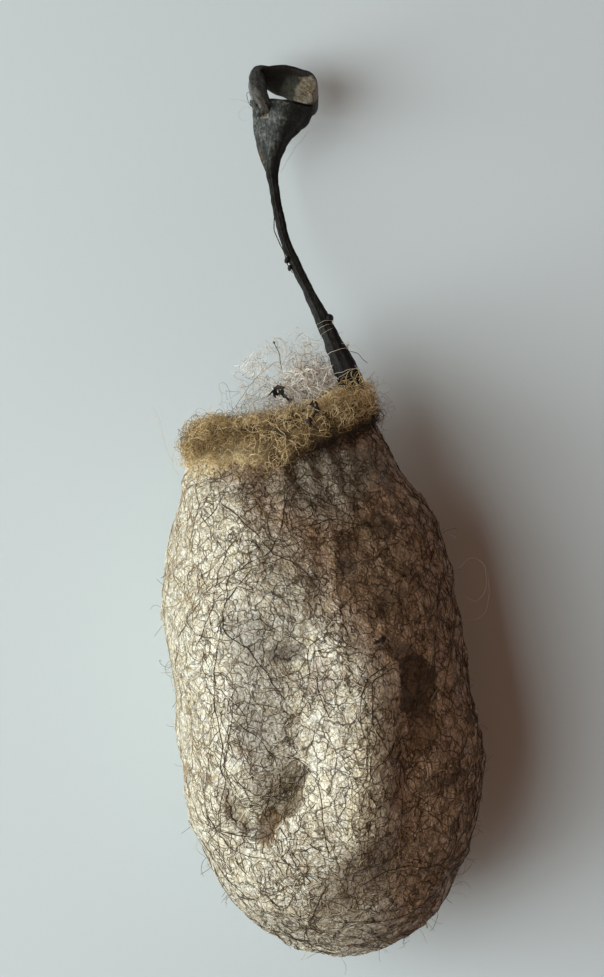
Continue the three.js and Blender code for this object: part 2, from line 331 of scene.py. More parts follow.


# closed three-sided tubes; paths is fibres x points x 3, and a fibre's tone picks its column of
# the flat map
def makeFibres(name, groups, material, sides=3, tones=64):
    points, quadSets, quadFlats, capSets, capFlats, total = [], [], [], [], [], 0
    for paths, radii, tone in groups:
        count, length, _ = paths.shape
        tangents = unit(np.gradient(paths, axis=1))
        sideways = np.empty_like(paths)
        sideways[:, 0] = unit(np.cross(tangents[:, 0], dice.normal(size=(count, 3))))
        for step in range(1, length):
            kept = sideways[:, step - 1]
            sideways[:, step] = unit(kept - tangents[:, step] * dot(kept, tangents[:, step]))
        upright = np.cross(tangents, sideways)
        angle = anglesRound(sides)[:, None]
        ring = sideways[:, :, None] * np.cos(angle) + upright[:, :, None] * np.sin(angle)
        points.append((paths[:, :, None] + ring * radii[:, :, None, None]).reshape(-1, 3))
        first = total + np.arange(count)[:, None, None] * length * sides
        step = np.arange(length - 1)[:, None]
        this = np.arange(sides)
        a, b = first + step * sides + this, first + step * sides + (this + 1) % sides
        quadSets.append(np.stack([a, b, b + sides, a + sides], -1).reshape(-1, 4))
        column = (np.floor(tone * tones).clip(0, tones - 1))[:, None, None] + 0.1
        left, right = (column + 0.8 * this / sides) / tones, (column + 0.8 * (this + 1) / sides) / tones
        left, right = (np.broadcast_to(edge, a.shape) for edge in (left, right))
        low = np.broadcast_to(step / (length - 1), a.shape)
        high = np.broadcast_to((step + 1) / (length - 1), a.shape)
        quadFlats.append(np.stack([left, low, right, low, right, high, left, high], -1).reshape(-1, 4, 2))
        start = first[:, 0, 0]
        for base, order, v in ((start, (0, 2, 1), 0.0), (start + (length - 1) * sides, (0, 1, 2), 0.99)):
            capSets.append(base[:, None] + np.array(order))
            u = (column[:, 0] + 0.8 * np.array([0, 1, 0.5]) / sides) / tones
            capFlats.append(np.stack([u, np.broadcast_to([v, v, v + 0.01], u.shape)], -1))
        total += count * length * sides
    faceSets = [np.concatenate(quadSets), np.concatenate(capSets)]
    flatSets = [np.concatenate(quadFlats), np.concatenate(capFlats)]
    makePiece(name, np.concatenate(points), faceSets, flatSets, material)


# radius along a fibre, smaller towards both ends
def taper(count, length, thin, thick, ends=0.35):
    along = np.linspace(0, 1, length)
    fade = ends + (1 - ends) * np.minimum(1, np.minimum(along, 1 - along) * 8)
    return dice.uniform(thin, thick, (count, 1)) * fade


# camera, light and floor

view = {
    "above": (-1.62, 18.135),    # the point that the camera looks straight down at
    "level": 13.4,               # height at which the frame is measured
    "distance": 300.0,
    "frameHeight": 88.0,
    "sensor": 36.0,
}
light = {
    "keyFrom": (-0.76, -0.12, 0.53),
    "keyDistance": 420.0,
    "keySize": (310.0, 740.0),
    "keyPower": 3.15,
    "keyColour": (0.905, 0.985, 1.0),
    "ambient": (0.315, 0.175, 0.125),
    "ambientPower": 0.46,
}
floorLook = {"size": 1600.0, "colour": (0.69, 0.765, 0.775), "grain": 1.1, "unevenness": 0.02}


def makeCamera():
    data = bpy.data.cameras.new("camera")
    data.sensor_width = view["sensor"]
    data.lens = view["sensor"] * view["distance"] / view["frameHeight"]
    data.clip_start, data.clip_end = 0.01, 10
    camera = bpy.data.objects.new("camera", data)
    camera.location = Vector((*view["above"], view["level"] + view["distance"])) * mm
    bpy.context.scene.collection.objects.link(camera)
    bpy.context.scene.camera = camera


def makeLight():
    data = bpy.data.lights.new("window", "AREA")
    data.shape = "RECTANGLE"
    data.size, data.size_y = (side * mm for side in light["keySize"])
    data.energy = light["keyPower"]
    data.color = light["keyColour"]
    lamp = bpy.data.objects.new("window", data)
    direction = Vector(light["keyFrom"]).normalized()
    lamp.location = Vector((*view["above"], 0)) * mm + direction * light["keyDistance"] * mm
    lamp.rotation_euler = (-direction).to_track_quat("-Z", "Y").to_euler()
    bpy.context.scene.collection.objects.link(lamp)
    world = bpy.data.worlds.new("room")
    world.use_nodes = True
    background = world.node_tree.nodes["Background"]
    background.inputs["Color"].default_value = (*light["ambient"], 1)
    background.inputs["Strength"].default_value = light["ambientPower"]
    bpy.context.scene.world = world
    bpy.context.scene.view_settings.view_transform = "Standard"


def makeFloor():
    paper = Finish("palePaper")
    place = paper.place()
    grain = paper.noise(place, floorLook["grain"], 3.0)
    tone = paper.noise(place, 40.0, 2.0)
    paler = tuple(min(1, value * 1.03) for value in floorLook["colour"])
    colour = paper.mix(tone, floorLook["colour"], paler)
    normal = paper.bump(grain, floorLook["unevenness"], 0.5)
    material = paper.finish({"Base Color": colour, "Normal": normal}, {"Roughness": 0.7})
    half = floorLook["size"] / 2 * mm
    mesh = bpy.data.meshes.new("floor")
    corners = [(-half, -half, 0), (half, -half, 0), (half, half, 0), (-half, half, 0)]
    mesh.from_pydata(corners, [], [(0, 1, 2, 3)])
    floor = bpy.data.objects.new("floor", mesh)
    floor.data.materials.append(material)
    bpy.context.scene.collection.objects.link(floor)


makeCamera()
makeLight()
makeFloor()
print("camera, light and floor are ready")


# shell

shell = {
    "leftSide": [(-11.6, 20.2), (-12.5, 17.4), (-13.5, 13.4), (-14.1, 8.0),
                 (-13.1, 0.8), (-12.3, -6.4), (-10.7, -13.5), (-6.6, -20.4)],
    "rightSide": [(4.9, 23.8), (7.5, 19.1), (10.6, 15.1), (12.3, 8.2),
                  (13.2, 1.0), (14.4, -6.2), (13.5, -13.6), (9.4, -20.7)],
    "tipPoint": (1.4, -24.0),
    # side view, as (y, z)
    "backLine": [(20.7, 21.4), (17.2, 23.6), (13.9, 25.2), (8.1, 26.8),
                 (0.9, 27.3), (-6.3, 26.9), (-13.5, 24.8), (-20.3, 19.6)],
    "bellyLine": [(23.3, 6.8), (19.4, 4.4), (14.7, 2.2), (8.1, 0.05),
                  (0.9, -0.4), (-6.3, -0.1), (-13.5, 1.6), (-20.3, 6.0)],
    "tipSide": (-24.0, 12.8),
    "fullness": 0.93,
    "wall": 1.0,
    "columns": 280,
    "rows": 190,
    "insideRows": 34,
    "lumps": [(2, 3, 0.4), (3, 5, 1.9), (5, 4, 3.1)],    # turns, lengths and shift of each
    "lumpHeight": 0.16,
    # blotch width, height and seed of the finer unevenness
    "puckers": [(5.0, 0.22, 1), (2.1, 0.14, 2), (1.0, 0.08, 3), (0.6, 0.05, 4)],
    "creases": [(4.2, 0.22, 5), (2.6, 0.12, 6)],
}
mouth = {"center": (-3.35, 22.0, 14.0), "turnDegrees": 12.3, "riseDegrees": 10, "shoulderHeight": 1.7,
         "lipScale": 0.7, "holeRadius": 5.0}
pleats = {"count": 19, "depth": 0.23, "reach": 0.15, "bunching": 2.2, "bunches": 3,
          "everywhere": 0.3, "strongestAt": -3.5, "spread": 3.5, "unevenness": 0.3}
# place, half lengths along and across, direction and depth of what is pressed into the back
hollows = [
    (-2.9, 3.3, 2.0, 1.4, 0, 1.1), (-1.6, -1.0, 7.0, 2.3, 85, 1.2), (-4.2, 13.5, 6.0, 2.6, 105, 0.35),
    (-3.6, -9.0, 3.8, 1.4, 55, 2.2), (-5.8, -11.9, 2.4, 1.7, 50, 1.5), (-6.6, -10.3, 2.2, 1.3, 70, 0.8),
    (-7.9, -9.9, 2.2, 0.45, 106, 1.6), (5.2, 13.2, 10.0, 5.8, 127, 1.9), (3.7, -7.2, 8.5, 2.5, 86, -1.25),
    (9.0, -7.0, 9.0, 3.0, 86, 1.4), (-7.0, 11.5, 8.0, 3.6, 95, -0.4),
]

center = np.array(mouth["center"])
yaw, rise = math.radians(mouth["turnDegrees"]), math.radians(mouth["riseDegrees"])
mouthAcross = np.array([math.cos(yaw), math.sin(yaw), 0])
mouthAxis = np.array([-math.sin(yaw) * math.cos(rise), math.cos(yaw) * math.cos(rise), math.sin(rise)])
mouthLift = np.cross(mouthAcross, mouthAxis)
outline = [*shell["leftSide"], shell["tipPoint"], *reversed(shell["rightSide"])]
sideLine = [*shell["backLine"], shell["tipSide"], *reversed(shell["bellyLine"])]


# around is 0 on the left, a quarter turn on the back, half a turn on the right
def plainShell(along, around):
    left, right = smoothCurve(outline, along / 2), smoothCurve(outline, 1 - along / 2)
    back, belly = smoothCurve(sideLine, along / 2), smoothCurve(sideLine, 1 - along / 2)
    corner = 2 / shell["fullness"]
    reach = (np.abs(np.cos(around)) ** corner + np.abs(np.sin(around)) ** corner) ** (-1 / corner)
    cosine, sine = np.cos(around) * reach, np.sin(around) * reach
    middle, half = (left + right) / 2, (right - left) / 2
    x = middle[..., 0] - cosine * half[..., 0]
    y = middle[..., 1] - cosine * half[..., 1] + sine * (back[..., 0] - belly[..., 0]) / 2
    z = (back[..., 1] + belly[..., 1]) / 2 + sine * (back[..., 1] - belly[..., 1]) / 2
    return np.stack([x, y, z], -1)


def shellNormal(along, around):
    step = 0.004
    at = np.minimum(along, 1 - 2 * step)
    lengthwise = plainShell(at + step, around) - plainShell(np.maximum(at - step, 0), around)
    sideways = plainShell(at, around + step) - plainShell(at, around - step)
    return -unit(np.cross(sideways, lengthwise))


# grooves, hollows, lumps and puckers together, as a distance outward
def shellRelief(point, along, around):
    wave = np.sin(pleats["count"] * around + pleats["bunching"] * np.sin(pleats["bunches"] * around))
    beside = (point[..., 0] - pleats["strongestAt"]) / pleats["spread"]
    strength = pleats["everywhere"] + np.exp(-beside ** 2) + pleats["unevenness"] * softNoise(point, 5.0, 21)
    height = pleats["depth"] * strength * np.exp(-(along / pleats["reach"]) ** 2) * wave
    facing = np.clip((point[..., 2] - center[2]) / 4, 0, 1)
    for x, y, longways, sideways, degrees, depth in hollows:
        a, b = turned(point[..., 0] - x, point[..., 1] - y, degrees)
        height = height - facing * depth * np.exp(-(a / longways) ** 2 - (b / sideways) ** 2)
    for turns, lengths, shift in shell["lumps"]:
        ripple = np.sin(turns * around + shift) * np.cos(3 * lengths * along + shift)
        height = height + shell["lumpHeight"] * np.sin(math.pi * np.clip(along, 0, 1)) * ripple
    return height


def pucker(point):
    height = unevenness(point, shell["puckers"])
    for size, tall, seed in shell["creases"]:
        ridge = 1 - np.abs(softNoise(point, size, seed))
        height = height + tall * (ridge ** 9 - 0.15)
    return height


def shellPoint(along, around, grow):
    plain = plainShell(along, around)
    outward = np.where(along[..., None] > 0.999, np.array([0, -1.0, 0]), shellNormal(along, around))
    fine = pucker(plain) if grow == 0 else 0
    return plain + outward * (shellRelief(plain, along, around) + fine + grow)[..., None]


# the gathered end from the neck, closing 0, to the lip, closing 1
def shoulderPoint(closing, around, grow):
    neck = shellPoint(np.zeros_like(around), around, grow) - center
    angle = closing * math.pi / 2
    scale = mouth["lipScale"] + (1 - mouth["lipScale"]) * math.cos(angle)
    return neck * scale + center + mouthAxis * (mouth["shoulderHeight"] + grow) * math.sin(angle)


def mouthCircle(radius, height, around):
    circle = mouthLift * np.sin(around)[:, None] - mouthAcross * np.cos(around)[:, None]
    return center + mouthAxis * height + circle * radius


def makeSkin(material):
    columns, rows = shell["columns"], shell["rows"]
    around = anglesRound(columns)
    rings = []
    for row in range(1, rows + 1):
        rings.append(shellPoint(np.full(columns, 1 - row / rows), around, 0))
    for closing in np.linspace(0, 1, 9)[1:]:
        rings.append(shoulderPoint(closing, around, 0))
    outer = len(rings)
    rings.append(mouthCircle(mouth["holeRadius"], mouth["shoulderHeight"], around))
    rings.append(mouthCircle(mouth["holeRadius"], mouth["shoulderHeight"] - shell["wall"], around))
    for closing in (0.8, 0.4):
        rings.append(shoulderPoint(closing, around, -shell["wall"]))
    for row in range(shell["insideRows"]):
        rings.append(shellPoint(np.full(columns, row / shell["insideRows"]), around, -shell["wall"]))
    tips = [plainShell(np.array(1.0), np.array(0.0)) + (0, move, 0) for move in (-0.02, shell["wall"])]
    points = np.concatenate([*rings, tips])
    points[:, 2] = np.maximum(points[:, 2], 0)
    quads, flat = ringFaces(len(rings), columns, (0.01, 0.03), (0.99, 0.97))
    u = 0.01 + 0.98 * np.arange(columns) / columns
    wide = 0.98 / columns
    low = np.stack([u + wide, 0 * u + 0.03, u, 0 * u + 0.03, u + wide / 2, 0 * u + 0.005], -1)
    high = np.stack([u, 0 * u + 0.97, u + wide, 0 * u + 0.97, u + wide / 2, 0 * u + 0.995], -1)
    capFlat = np.concatenate([low, high]).reshape(-1, 3, 2)
    faces = [quads, endFans(len(rings), columns)]
    makePiece("shellSkin", points, faces, [flat, capFlat], material, "cocoon_shell")
    outside = quads[:(outer - 1) * columns]
    return points, outside, BVHTree.FromPolygons(points.tolist(), outside.tolist())


stainsAndPaintedLight = [
    # broad tints; those noted below are partly painted light and painted shade
    # pale cream along the raised ridge: partly its warm colour, partly painted light on the slope facing the
    # lamp
    mark((3.9, -7.4), (8.5, 2.0), 0.95, (1.0, 0.9, 0.63), degrees=86, fade=0.9),
    mark((1.0, -20.5), (9.5, 3.4), 0.5, (0.3, 0.24, 0.17), fade=0.9),
    # grey below the collar, in this mark and the next: partly grey silk, partly painted shade beneath the roll
    mark((-2.0, 19.3), (9.0, 2.8), 0.4, (0.27, 0.255, 0.2), degrees=8, fade=0.9),
    mark((1.0, 19.0), (7.5, 3.6), 0.75, (0.26, 0.26, 0.205), degrees=18, fade=0.9),
    # olive brown over the hollow turned away from the lamp: partly stain, partly painted shade
    mark((3.8, 12.5), (7.5, 4.4), 0.5, (0.22, 0.165, 0.095), degrees=120, fade=0.9),
    mark((8.0, -14.0), (5.5, 3.5), 0.3, (0.2, 0.13, 0.08), degrees=60, fade=0.9),
    # grey along the long trough: partly grey silk, partly painted shade on its wall
    mark((-5.5, -0.6), (12.5, 3.0), 0.6, (0.35, 0.325, 0.27), degrees=99, fade=0.9),
    # brownish grey on the upper back: partly stain, partly painted shade
    mark((-2.4, 10.6), (6.0, 3.4), 0.45, (0.24, 0.2, 0.14), degrees=110, fade=0.9),
    mark((3.2, -15.8), (5.6, 3.2), 0.85, (0.19, 0.13, 0.08), degrees=50, fade=0.9),
    # pale cream on the lower left: partly the silk's colour, partly painted light on the flank facing the lamp
    mark((-9.4, -11.5), (5.0, 2.0), 0.7, (1.0, 0.92, 0.69), degrees=110, fade=0.9),
    mark((-5.0, 5.6), (4.0, 2.8), 0.5, (0.3, 0.28, 0.23), fade=0.9),
    # grey in the lower trough: partly grey silk, partly painted shade
    mark((-6.2, -3.6), (5.0, 2.2), 0.6, (0.33, 0.29, 0.22), degrees=100, fade=0.9),
    mark((0.4, 16.6), (3.8, 2.6), 0.45, (0.5, 0.46, 0.36), fade=0.9),
    # pale cream on the ridge's slope facing the lamp: partly the silk's colour, partly painted light
    mark((-0.6, -9.4), (3.6, 1.9), 0.9, (1.0, 0.92, 0.68), degrees=80, fade=0.9),
    # spots
    mark((8.4, 1.0), (3.1, 1.7), 0.95, (0.08, 0.034, 0.009), degrees=97, fade=0.16),
    mark((8.9, -3.0), (2.3, 1.6), 0.7, (0.14, 0.068, 0.02), degrees=90, fade=0.3),
    mark((6.6, 4.2), (2.2, 0.8), 0.6, (0.07, 0.038, 0.016), degrees=140, fade=0.3),
    mark((5.4, 5.0), (0.45, 0.35), 0.97, (0.012, 0.008, 0.005), bare=True),
    mark((2.1, 11.4), (1.1, 0.8), 0.75, (0.1, 0.08, 0.05), fade=0.25, bare=True),
    mark((-1.4, 10.0), (0.9, 0.7), 0.7, (0.12, 0.085, 0.05), fade=0.3),
    mark((5.0, 14.9), (1.5, 1.1), 0.6, (0.1, 0.07, 0.04), fade=0.3),
    mark((5.5, 8.0), (2.2, 1.2), 0.5, (0.11, 0.075, 0.045), degrees=40, fade=0.4),
    mark((-0.1, 1.5), (1.5, 2.0), 0.5, (0.36, 0.24, 0.17)),
    mark((-2.9, 3.9), (1.9, 1.1), 0.65, (0.2, 0.185, 0.155), fade=0.3, bare=True),
    mark((-10.1, -7.4), (0.9, 0.7), 0.5, (0.38, 0.23, 0.11)),
    mark((-7.0, -4.5), (1.1, 0.8), 0.4, (0.38, 0.25, 0.13)),
    mark((-1.9, -6.8), (1.3, 0.8), 0.75, (0.13, 0.085, 0.055), degrees=70, fade=0.5),
    mark((-2.9, -9.2), (2.6, 1.2), 0.8, (0.17, 0.115, 0.05), degrees=65, fade=0.5),
    mark((-4.7, -11.9), (1.8, 1.3), 0.9, (0.18, 0.088, 0.026), degrees=60, fade=0.5),
    mark((-5.6, -12.0), (1.4, 0.8), 0.5, (0.15, 0.12, 0.09), degrees=150),
    mark((10.9, -7.6), (2.4, 1.0), 0.6, (0.05, 0.027, 0.015), degrees=15, fade=0.4),
]
silk = {
    "cream": (0.86, 0.765, 0.525),
    "pale": (1.0, 0.98, 0.84),
    "dull": (0.60, 0.48, 0.29),
    "fibre": (0.17, 0.110, 0.055),
    "darkFibre": (0.065, 0.040, 0.020),
    # the right side's brown, multiplied in: partly the silk's own colour, partly painted shade on the side
    # turned from the lamp
    "right": (0.48, 0.285, 0.20),
    "gloss": 0.4,                 # of the lighter side
    "leftSide": (-9.0, -12.0),    # from here outward the threads are paler
    # lines bounding the darker, browner side (partly brown silk, partly painted shade), as (x share, y share,
    # distance), and its soft edge
    "darkSides": [(0.8, 0.6, 5.6), (1.0, 0.0, 5.7)],
    "darkEdge": (-2.7, 2.5),
    # how much darker the fibres are there (partly painted shade) and on tints, and how much paler on the left
    "fibresOnDark": 0.5, "fibresOnTints": 0.75, "fibresOnLeft": 0.5,
}


def silkFinish():
    made = Finish("spunSilk")
    place = made.place()
    wavy = made.warp(made.warp(place, 3.0, 2.0), 1.1, 1.5)
    curly = made.warp(place, 0.7, 0.9)
    drift = made.warp(made.warp(place, 2.5, 2.4), 0.7, 1.0)
    axes = made.split(drift)
    patches = made.noise(place, 6.0, 3.0).between(0.35, 0.7)
    specks = made.noise(place, 0.8, 3.0, 0.7).between(0.40, 0.64)
    dome, shade = made.cells(curly, 0.7)
    grains, _ = made.cells(made.warp(place, 0.4, 0.5), 0.34)
    colour = made.mix(patches * 0.4, silk["cream"], silk["dull"])
    colour = made.mix(specks * 0.55 + shade * 0.45, colour, silk["pale"])
    x, _, z = made.split(place)
    # the darker, browner right and upper side: partly brown silk, partly painted shade
    first, second = (axes[0] * across + axes[1] * along - reach
                     for across, along, reach in silk["darkSides"])
    dark = first.math("MAXIMUM", first, second).between(*silk["darkEdge"]) * z.between(4.0, 12.0)
    colour = made.mix(dark * 0.88, colour, silk["right"], "MULTIPLY")
    # stains and broad tints, some of them partly painted light and painted shade
    for tint in stainsAndPaintedLight:
        colour = made.mix(made.spot(axes, tint), colour, tint["colour"])
    fine = made.net(curly, 0.7, 0.09)
    wide = made.net(wavy, 1.7, 0.10)
    curls = made.curls(made.warp(place, 0.4, 0.5), 0.55, 0.035)
    colour = made.mix(fine * 0.5, colour, silk["fibre"])
    colour = made.mix(curls * 0.55, colour, silk["fibre"])
    pale = x.between(*silk["leftSide"])
    colour = made.mix(wide * (0.85 - pale * 0.35), colour, silk["darkFibre"])
    lines = (fine * 0.5 + wide + curls * 0.5).clamp()
    low = made.bump(dome + grains * 0.7, 0.17, 1.0)
    normal = made.bump(lines, 0.07, 1.0, below=low)
    shine = 0.5 - specks * 0.15 + lines * 0.2
    gloss = (1 - dark) * (1 - lines * 0.7) * silk["gloss"]
    return made.finish({"Base Color": colour, "Roughness": shine, "Normal": normal, "Coat Weight": gloss},
                       {"Specular IOR Level": 0.3, "Coat Roughness": 0.32})


# colour from the fibre's own tone, with faint bands along it
def fibreFinish(name, stops, roughness):
    made = Finish(name)
    flat = made.node("ShaderNodeUVMap", {"uv_map": "OFBake"})
    u, v, _ = made.split(flat)
    along = made.node("ShaderNodeCombineXYZ", sockets={0: u * 64.0, 1: v * 14.0})
    bands = made.noise(along, 1.0, 2.0)
    colour = made.ramp((u + (bands - 0.5) * 0.22).clamp(), stops)
    return made.finish({"Base Color": colour, "Roughness": roughness + (bands - 0.5) * 0.2},
                       {"Specular IOR Level": 0.25})


silkFibre = fibreFinish("silkFibre", [(0.0, (0.040, 0.023, 0.010)), (0.3, (0.13, 0.080, 0.036)),
                                      (0.6, (0.42, 0.30, 0.16)), (1.0, (0.96, 0.90, 0.74))], 0.45)
woolFibre = fibreFinish("woolFibre", [(0.0, (0.030, 0.018, 0.009)), (0.3, (0.14, 0.085, 0.036)),
                                      (0.6, (0.47, 0.31, 0.12)), (0.85, (0.98, 0.77, 0.43)),
                                      (1.0, (1.0, 0.93, 0.87))], 0.5)
flossFibre = fibreFinish("flossFibre", [(0.0, (0.10, 0.060, 0.034)), (0.35, (0.40, 0.29, 0.19)),
                                        (0.65, (0.84, 0.70, 0.54)), (1.0, (1.0, 0.96, 0.88))], 0.45)
skinPoints, outsideFaces, skinTree = makeSkin(silkFinish())
print("shell skin is ready")


# threads spun on the shell

threads = {
    # how many, length, step, radius, turning and how long it holds, share of steps with a kink,
    # tones, and height above the skin
    "strands": {"count": 130, "length": 15.0, "stride": 0.42, "radius": (0.030, 0.055), "bend": 0.34,
                "hold": 0.2, "kinks": 0.07, "tones": (0.0, 0.30), "lift": 0.04},
    "fibres": {"count": 1050, "length": 6.0, "stride": 0.38, "radius": (0.022, 0.040), "bend": 0.9,
               "hold": 0.25, "kinks": 0.08, "tones": (0.0, 0.5), "lift": 0.03},
    "curlsA": {"count": 1900, "length": 3.4, "stride": 0.34, "radius": (0.020, 0.036), "bend": 2.4,
               "hold": 0.6, "kinks": 0.0, "tones": (0.0, 0.45), "lift": 0.04},
    "curlsB": {"count": 1900, "length": 3.4, "stride": 0.34, "radius": (0.022, 0.042), "bend": 2.4,
               "hold": 0.6, "kinks": 0.0, "tones": (0.75, 1.0), "lift": 0.05},
    # lengthwise strokes along the right flank
    "sideStrokes": {"count": 340, "length": 3.2, "stride": 0.38, "radius": (0.030, 0.055), "bend": 0.5,
                    "hold": 0.2, "kinks": 0.1, "tones": (0.0, 1.0), "lift": 0.04, "spread": 0.25,
                    "crossing": (1, 0, 0), "box": ((7.5, -30, 8), (20, 30, 40))},
}


# random places on the skin, or on the part of it inside a box
def randomOnSkin(count, box=None):
    corners = skinPoints[outsideFaces]
    area = np.linalg.norm(np.cross(corners[:, 2] - corners[:, 0], corners[:, 3] - corners[:, 1]), axis=-1)
    middles = corners.mean(axis=1)
    if box:
        area = area * np.all((middles > box[0]) & (middles < box[1]), axis=1)
    return middles[dice.choice(len(area), count, p=area / area.sum())]


def ontoSkin(points):
    places, normals = np.empty_like(points), np.empty_like(points)
    for index, point in enumerate(points):
        place, normal, _, _ = skinTree.find_nearest(Vector(point))
        places[index], normals[index] = place, normal
    return places, normals


# how far a place lies on the darker side, whose darkness is partly painted shade, 0 to 1
def darkSide(points):
    x, y = points[..., 0], points[..., 1]
    beyond = np.max([x * across + y * along - reach for across, along, reach in silk["darkSides"]], axis=0)
    low, high = silk["darkEdge"]
    return np.clip((beyond - low) / (high - low), 0, 1)


# 1 at the middle of a tint, 0 at its edge and outside it
def insideTint(points, tint):
    x, y = points[..., 0] - tint["at"][0], points[..., 1] - tint["at"][1]
    a, b = turned(x, y, tint.get("degrees", 0))
    a, b = a / tint["size"][0], b / tint["size"][1]
    return np.clip(1 - a * a - b * b, 0, 1) * (points[..., 2] > 12)


# whether a fibre would cross one of the smooth stained spots
def crossesBare(path):
    crossed = np.zeros(len(path), bool)
    for tint in stainsAndPaintedLight:
        if "bare" in tint:
            crossed |= (insideTint(path, tint) > 0.25).any(axis=1)
    return crossed


# how much the tints darken the fibres on them; on the broad ones this is partly painted shade
def tinted(points):
    depths = [np.clip(insideTint(points, tint) / tint.get("fade", 0.5), 0, 1) * tint["strength"]
              * (1 - sum(tint["colour"]) / 3) * (0.5 if tint.get("fade", 0.5) > 0.8 else 1)
              for tint in stainsAndPaintedLight]
    return np.max(depths, axis=0)


# fibres that wander over the skin, each turning a little more or less at every step
def wanderOnSkin(thread):
    count, steps = thread["count"], int(thread["length"] / thread["stride"]) + 1
    place, normal = ontoSkin(randomOnSkin(count, thread.get("box")))
    towards = dice.normal(size=(count, 3)) * thread.get("spread", 1) + thread.get("crossing", 0)
    heading = unit(np.cross(normal, towards))
    stride = thread["stride"] * dice.uniform(0.6, 1.35, (count, 1))
    bend = dice.normal(size=(count, 1)) * thread["bend"]
    phase = dice.uniform(0, turn, (count, 1))
    path = np.empty((count, steps, 3))
    for step in range(steps):
        rising = thread["lift"] * (0.6 + np.sin(phase + step * stride * 2.1))
        path[:, step] = place + normal * rising
        bend = bend * thread["hold"] + dice.normal(size=(count, 1)) * thread["bend"]
        kink = dice.normal(size=(count, 1)) * (dice.uniform(size=(count, 1)) < thread["kinks"])
        angle = bend * stride + kink * 0.9
        heading = heading * np.cos(angle) + np.cross(normal, heading) * np.sin(angle)
        place, normal = ontoSkin(place + heading * stride)
        heading = unit(heading - normal * dot(heading, normal))
    path[..., 2] = np.maximum(path[..., 2], thread["radius"][1])
    middle = path.mean(axis=1)
    # fibres darker on the darker side, which is partly painted shade, and on the tints
    tones = dice.uniform(*thread["tones"], count) * (1 - silk["fibresOnDark"] * darkSide(middle))
    tones = tones * (1 - silk["fibresOnTints"] * tinted(middle))
    right, left = silk["leftSide"]
    leftward = np.clip((middle[:, 0] - right) / (left - right), 0, 1)
    tones = tones + silk["fibresOnLeft"] * leftward * (1 - tones)
    kept = ~crossesBare(path)
    return path[kept], taper(kept.sum(), steps, *thread["radius"]), tones[kept]


for name, thread in threads.items():
    makeFibres(f"silk_{name}", [wanderOnSkin(thread)], silkFibre)
print("threads are spun")


# woolly collar

wool = {
    "radius": 6.5, "thickness": 2.2, "middle": 1.35, "height": 2.3, "flatten": 0.94,
    "sag": 1.5,      # how much further down the far side of the roll sits
    "lifted": 0.4,   # how much the roll narrows from below towards the right
    "lumps": [(2.4, 0.30, 31), (1.1, 0.25, 32), (0.5, 0.14, 33)],    # blotch width, height and seed
    "beneath": 0.25,    # how far the matted core stays below the roll's own surface
    "columns": 200, "rows": 64,
    "fibres": {"count": 3100, "length": 3.3, "stride": 0.41, "radius": (0.012, 0.027), "curl": 1.8,
               "depths": (-0.3, 0.35), "least": 0.08},    # where they start and how high all may rise
}
woolLook = {
    "stops": [(0.3, (0.05, 0.030, 0.011)), (0.5, (0.28, 0.185, 0.075)), (0.75, (0.74, 0.54, 0.26))],
    # partly the wool's gold, partly painted light on the lower left of the roll facing the lamp
    "golden": (0.85, 0.66, 0.36),       # low on the left
    "shaded": (0.055, 0.030, 0.013),    # low on the right
    # lightness of the fibres at the middle, by patches, each on its own, low on the left (painted light) and
    # high on the left (painted shade), in painted shade
    "middle": 0.76, "patches": 0.30, "each": 0.12, "litLowLeft": 0.34, "shadedHighLeft": 0.14, "shade": 0.9,
    "range": (0.02, 0.85),
}
floss = {
    "middle": (2.2, 4.6, -4.2), "half": (4.4, 4.0, 1.4),
    "tufts": [
        # denser floss above the middle of the collar
        {"at": (-0.7, 26.9, 14.4), "half": (2.9, 2.2, 1.8), "count": 430, "length": 4.0,
         "radius": (0.024, 0.046), "tones": (0.80, 1.0)},
        {"at": (-0.6, 27.2, 13.8), "half": (2.8, 2.6, 1.8), "count": 110, "length": 4.0,
         "radius": (0.018, 0.032), "tones": (0.1, 0.45)},
        # white wisps to the left and above
        {"at": (-6.2, 29.4, 10.5), "half": (1.5, 1.0, 0.8), "count": 34, "length": 1.7,
         "radius": (0.028, 0.044), "tones": (0.99, 1.0)},
        {"at": (-2.2, 31.2, 11.0), "half": (2.4, 0.9, 0.8), "count": 22, "length": 3.0,
         "radius": (0.010, 0.020), "tones": (0.6, 1.0)},
        {"at": (-5.6, 26.2, 13.0), "half": (3.0, 1.3, 1.2), "count": 50, "length": 4.5,
         "radius": (0.010, 0.020), "tones": (0.1, 0.8)},
        # pinkish loops on the right of the collar
        {"at": (4.9, 25.0, 13.5), "half": (1.2, 2.6, 2.0), "count": 60, "length": 3.2,
         "radius": (0.012, 0.022), "tones": (0.2, 0.9)},
    ],
    # golden wool that creeps onto the shell at the left, and that climbs the stalk's foot
    "creeping": {"count": 200, "length": 2.6, "stride": 0.33, "radius": (0.014, 0.030), "bend": 2.2,
                 "hold": 0.6, "kinks": 0.0, "tones": (0.72, 0.9), "lift": 0.16,
                 "box": ((-12, 19.2, 8), (-3.5, 22, 40))},
    "climbing": {"at": (3.1, 26.3, 15.3), "half": (1.5, 1.7, 1.3), "count": 240, "length": 3.4,
                 "radius": (0.016, 0.032), "tones": (0.55, 0.88)},
    "fibres": {"count": 250, "length": 7.0, "stride": 0.33, "radius": (0.012, 0.024), "curl": 1.3},
}


def fromMouth(across, along, lift):
    across, along, lift = (np.asarray(value)[..., None] for value in (across, along, lift))
    return center + mouthAcross * across + mouthAxis * along + mouthLift * lift


# where the roll's middle lies along the mouth's axis, and its half height
def rollShape(cosine, sine):
    narrow = wool["lifted"] * np.clip(cosine, 0, 1)
    return wool["middle"] + narrow - wool["sag"] * np.clip(sine, 0, 1), wool["height"] - narrow


